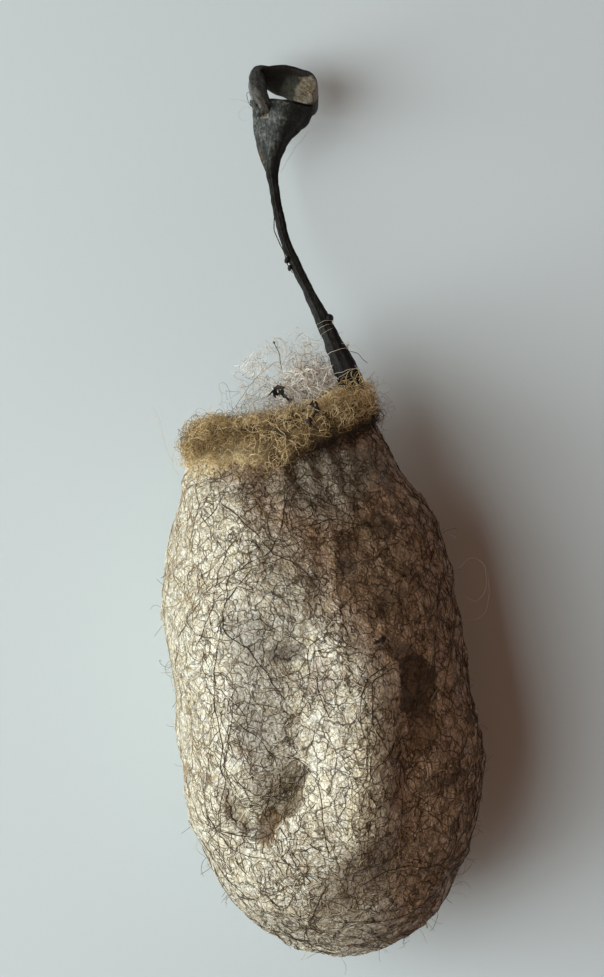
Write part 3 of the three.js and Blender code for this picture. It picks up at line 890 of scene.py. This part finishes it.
def rollPoint(angle, roll, grow):
    out = wool["radius"] + (wool["thickness"] + grow) * np.cos(roll)
    middle, height = rollShape(np.cos(angle), np.sin(angle))
    along = middle + (height + grow) * np.sin(roll)
    return fromMouth(out * np.cos(angle), along, -out * wool["flatten"] * np.sin(angle))


def makeWoolCore():
    made = Finish("mattedWool")
    place = made.place()
    tangle = made.warp(place, 0.6, 0.7)
    strands = made.curls(tangle, 0.45, 0.05, 2.0)
    tone = made.noise(place, 1.6, 4.0, 0.7)
    colour = made.ramp(tone * 0.75 + strands * 0.3, woolLook["stops"])
    axes = made.split(made.warp(place, 1.0, 0.8))
    offset = [axis - float(at) for axis, at in zip(axes, center)]
    across, along = (sum(part * float(share) for part, share in zip(offset, direction))
                     for direction in (mouthAcross, mouthAxis))
    # golden on the lower left: partly the wool's gold, partly painted light on the side facing the lamp
    golden = across.between(-0.5, -4.0) * along.between(2.2, 0.4) * (strands * 0.5 + 0.5)
    colour = made.mix(golden, colour, woolLook["golden"])
    shaded = across.between(-0.3, 2.3) * along.between(1.4, 0.5) * 0.92
    colour = made.mix(shaded, colour, woolLook["shaded"])
    normal = made.bump(strands + tone, 0.25, 0.9)
    material = made.finish({"Base Color": colour, "Normal": normal}, {"Roughness": 0.85})
    columns, rows = wool["columns"], wool["rows"]
    angle, roll = np.meshgrid(anglesRound(columns), anglesRound(rows))
    plain = rollPoint(angle, roll, 0)
    grow = unevenness(plain, wool["lumps"]) - wool["beneath"]
    points = rollPoint(angle, roll, grow).reshape(-1, 3)
    row, column = np.mgrid[0:rows, 0:columns]
    below, after = (row + 1) % rows, (column + 1) % columns
    quads = np.stack([row * columns + column, below * columns + column,
                      below * columns + after, row * columns + after], -1).reshape(-1, 4)[:, ::-1]
    u = np.stack([column, column, column + 1, column + 1], -1) / columns
    v = np.stack([row, row + 1, row + 1, row], -1) / rows
    flat = (0.01 + 0.98 * np.stack([u, v], -1)).reshape(-1, 4, 2)[:, ::-1]
    makePiece("woolCore", points, [quads], [flat], material, "mouth_wool")


# pull back to the collar's roll: outward distance from it and the direction outward
def rollReach(points):
    local = points - center
    across, lift, along = local @ mouthAcross, local @ mouthLift / wool["flatten"], local @ mouthAxis
    radius = np.maximum(np.hypot(across, lift), 1e-6)
    middle, height = rollShape(across / radius, -lift / radius)
    out, up = radius - wool["radius"], along - middle
    size = np.hypot(out / wool["thickness"], up / height)
    outDirection, upDirection = out / wool["thickness"] ** 2, up / height ** 2
    radial = mouthAcross * (across / radius)[:, None] + mouthLift * (lift / radius)[:, None]
    direction = unit(radial * outDirection[:, None] + mouthAxis * upDirection[:, None])
    return (size - 1)[:, None] * wool["thickness"], direction


# the same for an oval with its middle, the directions of its axes and its half sizes along them
def ovalReach(middle, axes, half):
    def reach(points):
        parts = (points - middle) @ axes.T / half
        size = np.linalg.norm(parts, axis=-1, keepdims=True)
        return (size - 1) * min(half), unit((parts / half) @ axes)
    return reach


def loose(points):
    return np.zeros((len(points), 1)), np.zeros_like(points)


# how much of its spin a curling fibre keeps at a step, how much is new, and how hard it is pulled back
curling = {"kept": 0.85, "fresh": 0.5, "pull": 4}


# curled fibres that keep within a band of heights over a form
def curlWithin(starts, heading, fibre, reach, low, high):
    count, steps = len(starts), int(fibre["length"] / fibre["stride"]) + 1
    stride = fibre["stride"] * dice.uniform(0.6, 1.3, (count, 1))
    spin = dice.normal(size=(count, 3)) * fibre["curl"]
    path = np.empty((count, steps, 3))
    place = starts
    for step in range(steps):
        path[:, step] = place
        spin = spin * curling["kept"] + dice.normal(size=(count, 3)) * fibre["curl"] * curling["fresh"]
        distance, outward = reach(place)
        push = np.clip(low - distance, 0, 1) - np.clip(distance - high, 0, 1)
        heading = unit(heading + (np.cross(spin, heading) + outward * push * curling["pull"]) * stride)
        place = place + heading * stride
    return path, taper(count, steps, *fibre["radius"])


def makeWoolFibres():
    fibre = wool["fibres"]
    for half in range(2):
        angle, roll = dice.uniform(0, turn, (2, fibre["count"]))
        starts = rollPoint(angle, roll, dice.uniform(*fibre["depths"], fibre["count"]))
        high = dice.uniform(0.0, 1.0, (fibre["count"], 1)) ** 5 + fibre["least"]
        heading = unit(dice.normal(size=starts.shape))
        path, radii = curlWithin(starts, heading, fibre, rollReach, fibre["depths"][0], high)
        places = path.mean(axis=1)
        tone = woolLook["middle"] + woolLook["patches"] * softNoise(places, 1.2, 41)
        tone = tone + woolLook["each"] * dice.normal(size=fibre["count"])
        across, along = (places - center) @ mouthAcross, (places - center) @ mouthAxis
        left, right = np.clip(-across / 6, 0, 1), np.clip((across + 0.1) / 3.5, 0, 1)
        low = np.clip((1.8 - along) / 2, 0, 1)
        shaded = np.clip(right * 3, 0, 1) * np.clip(0.8 + right - along, 0, 1)
        # painted light low on the left, painted shade high on the left and under the right
        tone = tone + woolLook["litLowLeft"] * left * low - woolLook["shadedHighLeft"] * left * (1 - low)
        tone = tone - woolLook["shade"] * shaded
        tone = np.clip(tone, *woolLook["range"])
        makeFibres(f"wool_{'ab'[half]}", [(path, radii, tone)], woolFibre)


def makeFloss():
    fibre, half = floss["fibres"], np.array(floss["half"])
    count = fibre["count"]
    middle = fromMouth(*floss["middle"])
    parts = np.stack([dice.normal(0, 0.42, count), -0.9 + 1.7 * dice.uniform(0, 1, count) ** 1.6,
                      dice.uniform(-0.8, 0.8, count)], -1)
    axes = np.array([mouthAcross, mouthAxis, mouthLift])
    starts = middle + (parts * half) @ axes
    path, radii = curlWithin(starts, unit(dice.normal(size=starts.shape)), fibre,
                             ovalReach(middle, axes, half), -9, 0.0)
    groups, golden = [(path, radii, dice.uniform(0.3, 1.0, count))], []
    for tuft in (*floss["tufts"], floss["climbing"]):
        starts = np.array(tuft["at"]) + dice.normal(size=(tuft["count"], 3)) * np.array(tuft["half"]) * 0.5
        reach = ovalReach(np.array(tuft["at"]), np.eye(3), np.array(tuft["half"]))
        heading = unit(dice.normal(size=starts.shape))
        path, radii = curlWithin(starts, heading, {**fibre, **tuft}, reach, -9, 0.0)
        chosen = golden if tuft is floss["climbing"] else groups
        chosen.append((path, radii, dice.uniform(*tuft["tones"], tuft["count"])))
    makeFibres("looseFloss", groups, flossFibre)
    golden.append(wanderOnSkin(floss["creeping"]))
    makeFibres("wool_climbing", golden, woolFibre)


makeWoolCore()
makeWoolFibres()
makeFloss()
print("collar is ready")


# stalk

stalk = {
    # middle, width, thickness and droop of the edges from the foot to the flare
    "stations": [
        (4.5, 22.2, 14.2, 1.0, 0.5, 0), (4.2, 23.9, 14.8, 1.5, 0.9, 0), (3.45, 25.9, 15.2, 2.1, 1.2, 0),
        (2.35, 28.6, 14.9, 2.1, 1.25, 0), (1.3, 31.0, 14.4, 1.6, 1.15, 0), (0.35, 33.1, 13.8, 1.35, 1.05, 0),
        (-0.95, 35.8, 12.8, 1.0, 0.9, 0), (-2.3, 38.6, 11.6, 0.9, 0.8, 0),
        (-3.35, 41.4, 10.3, 0.85, 0.75, 0), (-3.95, 44.3, 9.1, 0.85, 0.75, 0),
        (-4.35, 47.0, 8.1, 1.1, 0.8, 0.1), (-4.45, 49.1, 7.7, 2.4, 0.85, 0.7), (-4.3, 50.6, 7.9, 3.5, 0.8, 1.2),
        (-3.95, 51.8, 8.5, 4.75, 0.7, 1.9), (-3.6, 52.8, 9.2, 5.7, 0.65, 2.4),
        (-3.5, 53.5, 9.8, 5.9, 0.6, 2.5),
    ],
    "sides": 40, "steps": 260,
    "crest": 0.15,    # where the flare is highest, as a share of its half width
    "ridges": [(9, 0.6, 0.035), (15, 1.1, 0.025), (23, 1.7, 0.012)],    # how many, twist and height
    "lumps": [(0.9, 0.06, 51), (0.4, 0.04, 52)],
}
strap = {
    "center": (-3.3, 54.25, 6.5), "leanDegrees": 50, "radius": 2.9, "thick": 0.55, "wide": 3.0,
    "startDegrees": -36, "endDegrees": 158, "steps": 120, "sides": 28,
    # angle and share of the full width that is left below the middle of the band
    "lowerEdge": [(-36, 0.7), (0, 1.0), (30, 1.5), (55, 1.95), (75, 1.7), (88, 1.35), (105, 1.05),
                  (125, 0.6), (158, 0.3)],
    "corner": (137, 22, 0.17),    # where the band turns sharply, over how much, and how far it stands out
    "bulges": [(1.3, 0.09, 61)], "sway": [(0.8, 0.12, 62)],    # unevenness outward and across the band
}
# the strap's last stretch, from the left of the ring down onto the flare: place, width, thickness
strapEnd = {
    "stations": [
        (-4.4, 56.8, 4.3, 0.9, 0.5), (-5.45, 56.55, 5.0, 1.5, 0.75), (-5.7, 55.8, 6.6, 1.9, 0.9),
        (-5.65, 54.7, 8.2, 2.0, 0.9), (-5.45, 53.7, 9.5, 2.1, 0.95), (-5.2, 52.8, 10.0, 1.9, 0.85),
        (-5.1, 52.3, 9.8, 1.5, 0.7),
    ],
    "sides": 32, "steps": 90, "leanDegrees": 45, "lumps": [(0.6, 0.08, 71)],
}
# ramps of the dark surface and of the weathered grey, which is partly painted light on sides facing the lamp,
# and the colour of the pits
stalkLook = {
    "dark": [(0.28, (0.003, 0.003, 0.002)), (0.5, (0.009, 0.009, 0.007)), (0.72, (0.042, 0.042, 0.037))],
    "weatheredAndLit": [(0.36, (0.012, 0.013, 0.011)), (0.5, (0.055, 0.060, 0.053)), (0.64, (0.23, 0.24, 0.215))],
    "pits": (0.012, 0.009, 0.006),
}
# coloured marks on the whole stalk, and those on the strap alone
stalkMarks = [
    # pale grey along the strap end's left face: partly weathering, partly painted light on the side facing the
    # lamp
    mark((-5.6, 53.6), (2.0, 0.45), 0.9, (0.26, 0.27, 0.245), degrees=120, fade=0.3, above=3.0),
    mark((-6.2, 55.6), (1.4, 0.5), 0.6, (0.12, 0.125, 0.11), degrees=90, fade=0.5, above=2.0),
    mark((-5.42, 48.1), (1.8, 0.18), 0.8, (0.13, 0.08, 0.042), degrees=100, above=-5),
]
strapMarks = [
    # painted shade inside the ring's far wall, over its dark brown
    mark((-3.3, 56.3), (2.8, 1.6), 0.9, (0.01, 0.007, 0.004), above=-5, below=7.5),
    mark((-2.6, 55.2), (1.2, 1.3), 0.55, (0.1, 0.1, 0.075), fade=0.8, above=-5),
    mark((-1.15, 54.75), (1.25, 1.6), 0.92, (0.3, 0.25, 0.18), fade=0.45, above=-5),
    mark((-0.85, 55.3), (0.4, 0.55), 0.6, (0.13, 0.095, 0.06), above=-5),
    mark((-1.6, 54.6), (0.3, 0.35), 0.6, (0.14, 0.1, 0.065), above=-5),
]


def stalkFinish(name, marks):
    made = Finish(name)
    place = made.place()
    y = made.split(place)[1]
    sockets = {"Vector": place, "Rotation": (0, 0, math.radians(-20)), "Scale": (1.0, 0.12, 1.0)}
    stretched = made.node("ShaderNodeMapping", {"vector_type": "POINT"}, sockets)
    streaks = made.noise(stretched, 0.16, 4.0, 0.6)
    blotch = made.noise(place, 1.4, 3.0, 0.6)
    grain = made.noise(place, 0.3, 3.0, 0.6)
    colour = made.ramp(streaks * 0.6 + blotch * 0.4, stalkLook["dark"])
    # weathered grey on the left of the flare, and of the strap: partly weathering, partly painted light on the
    # sides facing the lamp
    axes = made.split(made.warp(place, 0.9, 0.8))
    flare = y.between(46.5, 49.5) * y.between(54.5, 53.5) * (axes[0] - axes[1] * 0.375).between(-22.1, -23.1)
    litGrey = (flare + y.between(53.5, 54.5) * axes[0].between(-4.8, -5.5)) * 0.85
    mottled = streaks * 0.35 + blotch * 0.35 + grain * 0.3
    weatheredAndLit = made.ramp(mottled, stalkLook["weatheredAndLit"])
    colour = made.mix(litGrey, colour, weatheredAndLit)
    for patch in marks:
        colour = made.mix(made.spot(axes, patch), colour, patch["colour"])
    colour = made.mix(grain.between(0.52, 0.36) * 0.6, colour, stalkLook["pits"])
    normal = made.bump(streaks + grain * 0.6, 0.09, 0.9)
    rough = 0.62 - streaks * 0.2
    return made.finish({"Base Color": colour, "Roughness": rough, "Normal": normal},
                       {"Specular IOR Level": 0.22})


# a closed piece of the stalk from its rings of points and the middles of its two ends
def makeTube(name, rings, ends, material):
    count, columns = rings.shape[:2]
    quads, flat = ringFaces(count, columns, (0.02, 0.02), (0.98, 0.98))
    caps = endFans(count, columns)
    capFlat = np.tile(np.array([[0.0, 0.0], [0.01, 0.0], [0.005, 0.01]]), (len(caps), 1, 1))
    points = np.concatenate([rings.reshape(-1, 3), ends])
    makePiece(name, points, [quads, caps], [flat, capFlat], material, "stalk")


def makeStem(material):
    stations = np.array(stalk["stations"])
    along = np.linspace(0, 1, stalk["steps"])
    read = smoothCurve(stations, along)
    path, sizes = read[:, :3], read[:, 3:]
    _, side, lift = pathFrame(path)
    angle = anglesRound(stalk["sides"])
    rough = sum(tall * np.sin(many * angle + twist * along[:, None] * turn + many)
                for many, twist, tall in stalk["ridges"])
    across, high = np.cos(angle), np.sin(angle)
    wide = across * (sizes[:, :1] / 2 + rough)
    tall = high * (sizes[:, 1:2] / 2 + rough)
    points = path[:, None] + side[:, None] * wide[..., None] + lift[:, None] * tall[..., None]
    points[..., 2] -= sizes[:, 2:] * np.abs(across - stalk["crest"]) ** 1.5
    lumps = unevenness(points, stalk["lumps"])
    outward = unit(side[:, None] * across[:, None] + lift[:, None] * high[:, None])
    makeTube("stalkStem", points + outward * lumps[..., None], [path[0], path[-1]], material)


# a place on the band, from its angle round the ring, its distance outward and its place across
def strapPoint(points):
    y, z = turned(points[..., 1], points[..., 2], strap["leanDegrees"])
    return np.stack([points[..., 0], y, z], -1) + strap["center"]


def makeStrap(material):
    steps, sides = strap["steps"], strap["sides"]
    angle = np.radians(np.linspace(strap["startDegrees"], strap["endDegrees"], steps))[:, None]
    section = anglesRound(sides)
    deep = power(np.cos(section), 0.45) * strap["wide"] / 2
    out = power(np.sin(section), 0.7) * strap["thick"] / 2
    lower = np.array(strap["lowerEdge"])
    wider = np.interp(np.degrees(angle), lower[:, 0], lower[:, 1])
    deep = np.where(deep < 0, deep * wider, deep + 0 * angle)
    place, spread, rise = strap["corner"]
    radius = strap["radius"] * (1 + rise * np.exp(-((np.degrees(angle) - place) / spread) ** 2)) + out
    points = np.stack([radius * np.cos(angle), radius * np.sin(angle), deep], -1)
    points = points + unevenness(points, strap["bulges"])[..., None] * unit(points * (1, 1, 0))
    points[..., 2] += unevenness(points, strap["sway"])
    points = strapPoint(points)
    makeTube("twigStrap", points, [points[0].mean(axis=0), points[-1].mean(axis=0)], material)


def makeStrapEnd(material):
    read = smoothCurve(np.array(strapEnd["stations"]), np.linspace(0, 1, strapEnd["steps"]))
    path, sizes = read[:, :3], read[:, 3:]
    _, side, lift = pathFrame(path, up=(0, 0.25, 1))
    side, lift = turned(side, lift, strapEnd["leanDegrees"])
    angle = anglesRound(strapEnd["sides"])
    rough = 0.05 * np.sin(7 * angle + 1) + 0.035 * np.sin(13 * angle + 4 * read[:, 1:2])
    across = power(np.cos(angle), 0.9) * (sizes[:, :1] / 2 + rough)
    tall = power(np.sin(angle), 0.9) * (sizes[:, 1:] / 2 + rough)
    points = path[:, None] + side[:, None] * across[..., None] + lift[:, None] * tall[..., None]
    points = points + unevenness(points, strapEnd["lumps"])[..., None] * lift[:, None]
    makeTube("strapEnd", points, [path[0], path[-1]], material)


knots = [
    lump((0.78, 33.4, 13.9), (0.42, 0.5, 0.45), rough=0.25),
    lump((-2.95, 38.85, 11.6), (0.26, 0.3, 0.28), rough=0.3),
    lump((-2.75, 38.1, 11.9), (0.2, 0.28, 0.22), rough=0.3),
]


# rough little bodies joined in one piece
def makeLumps(name, lumps, material, node=None, columns=16, rows=9):
    points, quadSets, flatSets, capSets, capFlats, total = [], [], [], [], [], 0
    for number, body in enumerate(lumps):
        down = (np.arange(rows) + 0.5) / rows * math.pi
        around = anglesRound(columns)
        ball = np.stack([np.sin(down)[:, None] * np.cos(around), np.sin(down)[:, None] * np.sin(around),
                         np.cos(down)[:, None] + 0 * around], -1).reshape(-1, 3)
        ball = np.concatenate([ball, [(0, 0, 1), (0, 0, -1)]])
        ball = ball * (1 + body.get("rough", 0.2) * softNoise(ball, 0.7, 80 + number))[:, None]
        edge = np.concatenate([np.tile(around, rows), [0, 0]])
        ragged = softNoise(np.stack([np.cos(edge), np.sin(edge), 0 * edge + number], -1), 0.42, 70)
        ball[:, :2] *= (1 + body.get("torn", 0) * ragged)[:, None]
        ball = ball * body["half"]
        ball[:, 2] += body.get("bend", 0) * ball[:, 0] ** 2
        x, y, z = ball.T
        y, z = turned(y, z, -body.get("tilt", 0))
        x, y = turned(x, y, -body.get("turn", 0))
        points.append(np.stack([x, y, z], -1) + body["at"])
        shift = number / len(lumps)
        quads, flat = ringFaces(rows, columns, (shift, 0.05), (shift + 1 / len(lumps), 0.95))
        last = total + rows * columns
        quadSets.append(quads[:, ::-1] + total)
        flatSets.append(flat[:, ::-1])
        capSets += [fanFaces(total, columns, last, False), fanFaces(last - columns, columns, last + 1, True)]
        corners = np.array([[shift, 0.0], [shift + 0.01, 0.0], [shift, 0.01]])
        capFlats.append(np.tile(corners, (2 * columns, 1, 1)))
        total = last + 2
    makePiece(name, np.concatenate(points), [np.concatenate(quadSets), np.concatenate(capSets)],
              [np.concatenate(flatSets), np.concatenate(capFlats)], material, node)


hardStalk = stalkFinish("hardStalk", stalkMarks)
makeStem(hardStalk)
makeStrap(stalkFinish("strapInside", strapMarks))
makeStrapEnd(hardStalk)
makeLumps("stalkKnots", knots, hardStalk, "stalk")
print("stalk is ready")


# flakes, hairs and single strands

flakes = [
    lump((-3.95, 26.95, 16.4), (0.5, 0.32, 0.06), turn=20, tilt=25, bend=0.9, torn=0.9),
    lump((-3.55, 26.75, 16.5), (0.26, 0.46, 0.06), turn=-25, tilt=40, bend=0.8, torn=0.9),
    lump((-4.05, 26.55, 16.4), (0.22, 0.38, 0.06), turn=40, tilt=40, bend=0.8, torn=0.9),
    lump((-3.2, 26.4, 16.6), (0.4, 0.18, 0.06), turn=-35, tilt=20, bend=1.0, torn=0.8),
    lump((-2.7, 26.0, 16.7), (0.42, 0.19, 0.06), turn=-55, tilt=20, bend=1.0, torn=0.9),
    lump((-0.65, 25.45, 21.6), (0.27, 0.48, 0.06), turn=-30, tilt=35, bend=0.9, torn=0.9),
    lump((-0.25, 25.2, 21.7), (0.24, 0.44, 0.06), turn=25, tilt=-30, bend=0.8, torn=0.9),
    lump((-0.5, 24.7, 21.9), (0.36, 0.16, 0.06), turn=60, tilt=20, bend=0.8, torn=0.8),
    lump((-0.95, 23.9, 22.4), (0.22, 0.38, 0.08), turn=40, tilt=10, torn=0.9),
    lump((-4.15, 31.35, 11.6), (0.09, 0.16, 0.09), turn=15, rough=0.2),
]
hairs = {
    # hairs stand in groups: middle, spread, how many and length
    "groups": [
        ((-13.9, 6.0, 13), 1.6, 5, 2.8), ((-13.6, 2.2, 13), 1.2, 5, 2.6), ((-13.0, -4.0, 13), 0.8, 3, 1.8),
        ((-10.2, -15.8, 12), 0.8, 4, 2.2), ((-8.4, -18.9, 12), 0.8, 4, 2.0), ((10.9, 14.6, 14), 0.6, 7, 1.6),
        ((12.9, -14.2, 13), 1.2, 9, 2.4), ((12.0, -17.8, 13), 1.1, 9, 2.6), ((10.4, -20.4, 12), 1.2, 9, 2.6),
        ((8.0, -22.2, 12), 1.4, 7, 2.2), ((4.5, -23.2, 12), 1.6, 8, 2.6), ((0.5, -23.8, 12), 1.6, 7, 2.0),
        ((13.8, -6.0, 12), 3.5, 8, 1.4), ((12.0, 4.0, 14), 4.0, 8, 1.3),
    ],
    "scattered": 240, "scatteredLength": 1.3,
    "stride": 0.22, "radius": (0.012, 0.026), "curl": 0.9, "tones": (0.15, 0.75),
    "upright": 0.8, "wild": 0.7,    # how much the first direction follows the skin's, and chance
    "rooted": 0.05, "clearance": 0.04,    # depth of the root, and least height over the floor
}
# single strands: points, radius, tone
strands = [
    ([(-15.1, 25.7, 12.5), (-14.5, 24.3, 12.8), (-14.1, 22.6, 13), (-13.6, 21.0, 13.2), (-12.1, 19.8, 14)],
     0.022, 0.97),
    ([(-15.2, 25.2, 12.0), (-14.7, 24.2, 12.4), (-14.45, 23.4, 12.6)], 0.020, 0.97),
    ([(-11.9, 23.6, 14), (-12.9, 22.2, 13.5), (-13.3, 20.4, 13.2), (-12.6, 19.2, 13.6)], 0.016, 0.8),
    ([(-8.2, 24.6, 14.8), (-6.7, 26.9, 13.6), (-5.3, 28.5, 12.8), (-4.0, 29.5, 12.4), (-3.2, 29.3, 12.6)],
     0.022, 0.5),
    ([(-4.2, 31.4, 11.6), (-3.75, 30.4, 11.9), (-3.5, 29.2, 12.3), (-3.2, 27.8, 13.0)], 0.045, 0.35),
    ([(-4.6, 31.2, 11.4), (-4.3, 30.7, 11.5), (-3.9, 30.3, 11.7)], 0.02, 0.4),
    ([(12.4, 10.9, 15), (13.6, 11.9, 14.2), (14.8, 11.2, 13.2), (15.0, 9.4, 12.8), (14.2, 8.0, 13),
      (13.0, 8.4, 14.2)], 0.014, 0.8),
    ([(13.0, 6.2, 14), (14.6, 6.6, 13), (15.3, 8.4, 12.4), (15.2, 10.4, 12.2)], 0.012, 0.8),
    # loose strand beside the stalk, and the stalk's stray fibres
    ([(-4.15, 43.1, 9.9), (-4.2, 42.2, 10.2), (-3.9, 41.0, 10.7), (-3.3, 39.6, 11.3), (-2.9, 38.4, 11.9),
      (-2.4, 37.7, 12.2)], 0.055, 0.12),
    ([(2.6, 30.4, 15.3), (3.3, 30.3, 15.2), (3.8, 29.8, 15.0), (4.3, 29.4, 14.9)], 0.035, 0.25),
    ([(2.4, 30.6, 15.4), (3.0, 30.9, 15.4), (3.6, 30.5, 15.2), (4.0, 30.0, 15.1)], 0.022, 0.85),
    ([(-6.1, 53.2, 8.6), (-6.9, 53.6, 8.2), (-7.8, 53.8, 7.6), (-8.4, 53.9, 7.0)], 0.018, 0.75),
    ([(-6.0, 52.9, 8.4), (-6.9, 53.1, 7.9), (-7.4, 52.5, 7.4), (-7.0, 51.9, 7.2), (-6.2, 52.2, 7.6)],
     0.016, 0.8),
    ([(-6.1, 54.4, 8.8), (-6.6, 54.3, 8.6), (-6.5, 53.5, 8.4), (-6.2, 53.0, 8.3)], 0.03, 0.15),
    ([(-0.9, 51.2, 6.6), (-1.7, 50.1, 7.0), (-2.4, 49.2, 7.2), (-3.0, 48.2, 7.6), (-3.5, 47.0, 8.2)],
     0.014, 0.6),
]
# dark folds in the lower dent and a pale one between them: points seen from above, radius, tone
folds = [
    ([(-8.2, -7.9), (-8.1, -9.2), (-7.8, -10.3), (-7.35, -11.2)], 0.085, 0.02),
    ([(-7.3, -11.2), (-6.6, -10.4), (-5.8, -9.5)], 0.06, 0.95),
    ([(-4.35, -7.3), (-4.45, -8.6), (-4.7, -9.8), (-4.95, -10.6)], 0.06, 0.05),
    ([(-1.3, -5.8), (-0.3, -7.4), (0.1, -9.6), (0.35, -11.9), (0.9, -13.8)], 0.05, 0.12),
    ([(-2.2, -11.2), (-2.4, -12.3), (-2.5, -13.6)], 0.05, 0.1),
]
# fibres wound round the stalk above its foot: how far along +Y, turns, drift along it and tone
windings = [(32.6, 1.3, 0.5, 0.85), (32.2, 0.8, -0.4, 0.7), (30.3, 1.2, 0.5, 0.9), (29.9, 0.7, 0.8, 0.8),
            (28.7, 1.1, -0.7, 0.75), (28.2, 0.9, 0.9, 0.85), (27.6, 1.4, 0.5, 0.7), (27.2, 1.1, -0.6, 0.9)]
# their distance from the stalk, points and radius, and where and how far their last part stands off
wound = {"clearance": 0.10, "steps": 44, "radius": (0.02, 0.03), "looseFrom": 0.8, "looseness": 2.7}
torn = {
    "length": 0.42, "stride": 0.1, "curl": 2.0, "radius": (0.022, 0.040),
    # at the strap's end: how many, spread and shift of the roots, direction and its scatter, tones
    "endCount": 44, "endSpread": (0.22, 0.05, 0.10), "endShift": (-0.1, 0.0, 0.3),
    "endHeading": (0.15, -1, 0.1), "endScatter": 0.5, "endTones": (0.45, 0.75),
    # on the ring's inside: how many, angles round the ring, places across the band, scatter, tones
    "wallCount": 190, "wallAngles": (-0.1, 0.95), "wallPlaces": (-1.7, 0.9), "wallScatter": 0.6,
    "wallTones": (0.35, 0.68), "wallClearance": 0.03,
}
# how strands, folds and windings wander: size of the places, amount and seed
wandering = {"strand": (0.8, 0.09, 91), "fold": (0.7, 0.12, 91), "winding": (0.5, 0.07, 95)}
wellAbove = 60.0    # height from which a fold is laid down on the skin


def makeFlakes():
    made = Finish("darkFlake")
    place = made.place()
    tone = made.noise(place, 0.5, 3.0, 0.6)
    stops = [(0.35, (0.005, 0.004, 0.002)), (0.6, (0.022, 0.010, 0.005)), (0.85, (0.12, 0.050, 0.025))]
    colour = made.ramp(tone, stops)
    normal = made.bump(tone, 0.06, 0.8)
    material = made.finish({"Base Color": colour, "Normal": normal, "Roughness": 0.25 + tone * 0.5})
    makeLumps("darkFlakes", flakes, material)


def makeHairs():
    groups = []
    for middle, spread, count, length in hairs["groups"]:
        starts, normals = ontoSkin(np.array(middle) + dice.normal(size=(count, 3)) * spread * 0.6)
        groups.append((starts, normals, length))
    starts, normals = ontoSkin(randomOnSkin(hairs["scattered"]))
    groups.append((starts, normals, hairs["scatteredLength"]))
    made = []
    for starts, normals, length in groups:
        heading = unit(normals * hairs["upright"] + dice.normal(size=normals.shape) * hairs["wild"])
        starts = starts - normals * hairs["rooted"]
        path, radii = curlWithin(starts, heading, {**hairs, "length": length}, loose, -1, 1)
        path[..., 2] = np.maximum(path[..., 2], hairs["clearance"])
        made.append((path, radii, dice.uniform(*hairs["tones"], len(starts))))
    makeFibres("shellHairs", made, silkFibre)


def makeStrands():
    made = []
    for points, radius, tone in strands:
        path = smoothCurve(points, np.linspace(0, 1, len(points) * 7))
        path = shaken(path, *wandering["strand"])
        made.append((path[None], taper(1, len(path), radius, radius, 0.5), np.array([tone])))
    for points, radius, tone in folds:
        path = np.insert(smoothCurve(points, np.linspace(0, 1, len(points) * 8)), 2, 0, axis=1)
        path = shaken(path, *wandering["fold"])
        path = np.array([skinTree.ray_cast(Vector((x, y, wellAbove)), Vector((0, 0, -1)))[0]
                         for x, y, _ in path])
        made.append((path[None], taper(1, len(path), radius, radius, 0.3), np.array([tone])))
    stations = smoothCurve(np.array(stalk["stations"]), np.linspace(0, 1, 400))
    frames = pathFrame(stations[:, :3])
    for y, turns, drift, tone in windings:
        index = int(np.argmin(np.abs(stations[:, 1] - y)))
        wide, thick = stations[index, 3:5] / 2 + wound["clearance"]
        tangent, side, lift = (directions[index] for directions in frames)
        t = np.linspace(0, 1, wound["steps"])
        angle = t * turns * turn + dice.uniform(0, turn)
        loosen = 1 + wound["looseness"] * np.clip(t - wound["looseFrom"], 0, 1)
        path = stations[index, :3] + tangent * (t * drift)[:, None]
        path = path + side * (np.cos(angle) * wide * loosen)[:, None]
        path = path + lift * (np.sin(angle) * thick * loosen)[:, None]
        path = shaken(path, *wandering["winding"])
        made.append((path[None], taper(1, len(t), *wound["radius"], 0.5), np.array([tone])))
    makeFibres("singleStrands", made, silkFibre)


# cream fibres torn open at the strap's end, and tan ones on the right of the ring's inside
def makeTornFibres():
    count = torn["endCount"]
    tip = np.array(strapEnd["stations"][-1][:3])
    starts = tip + dice.normal(size=(count, 3)) * torn["endSpread"] + torn["endShift"]
    heading = unit(np.array(torn["endHeading"]) + dice.normal(size=starts.shape) * torn["endScatter"])
    path, radii = curlWithin(starts, heading, torn, loose, -1, 1)
    made = [(path, radii, dice.uniform(*torn["endTones"], count))]
    count = torn["wallCount"]
    angle, deep = dice.uniform(*torn["wallAngles"], count), dice.uniform(*torn["wallPlaces"], count)
    inside = strap["radius"] - strap["thick"] / 2 - torn["wallClearance"]
    around = np.stack([-np.sin(angle), np.cos(angle), 0 * angle], -1)
    starts = strapPoint(np.stack([inside * np.cos(angle), inside * np.sin(angle), deep], -1))
    scatter = dice.normal(size=starts.shape) * torn["wallScatter"]
    heading = unit(strapPoint(around) - strap["center"] + scatter)
    path, radii = curlWithin(starts, heading, torn, loose, -1, 1)
    made.append((path, radii, dice.uniform(*torn["wallTones"], count)))
    makeFibres("tornFibres", made, silkFibre)


makeFlakes()
makeHairs()
makeStrands()
makeTornFibres()
print("flakes, hairs and single strands are ready")


# count of pieces and triangles

print(f"{len(shown)} pieces, {sum(shown)} triangles")
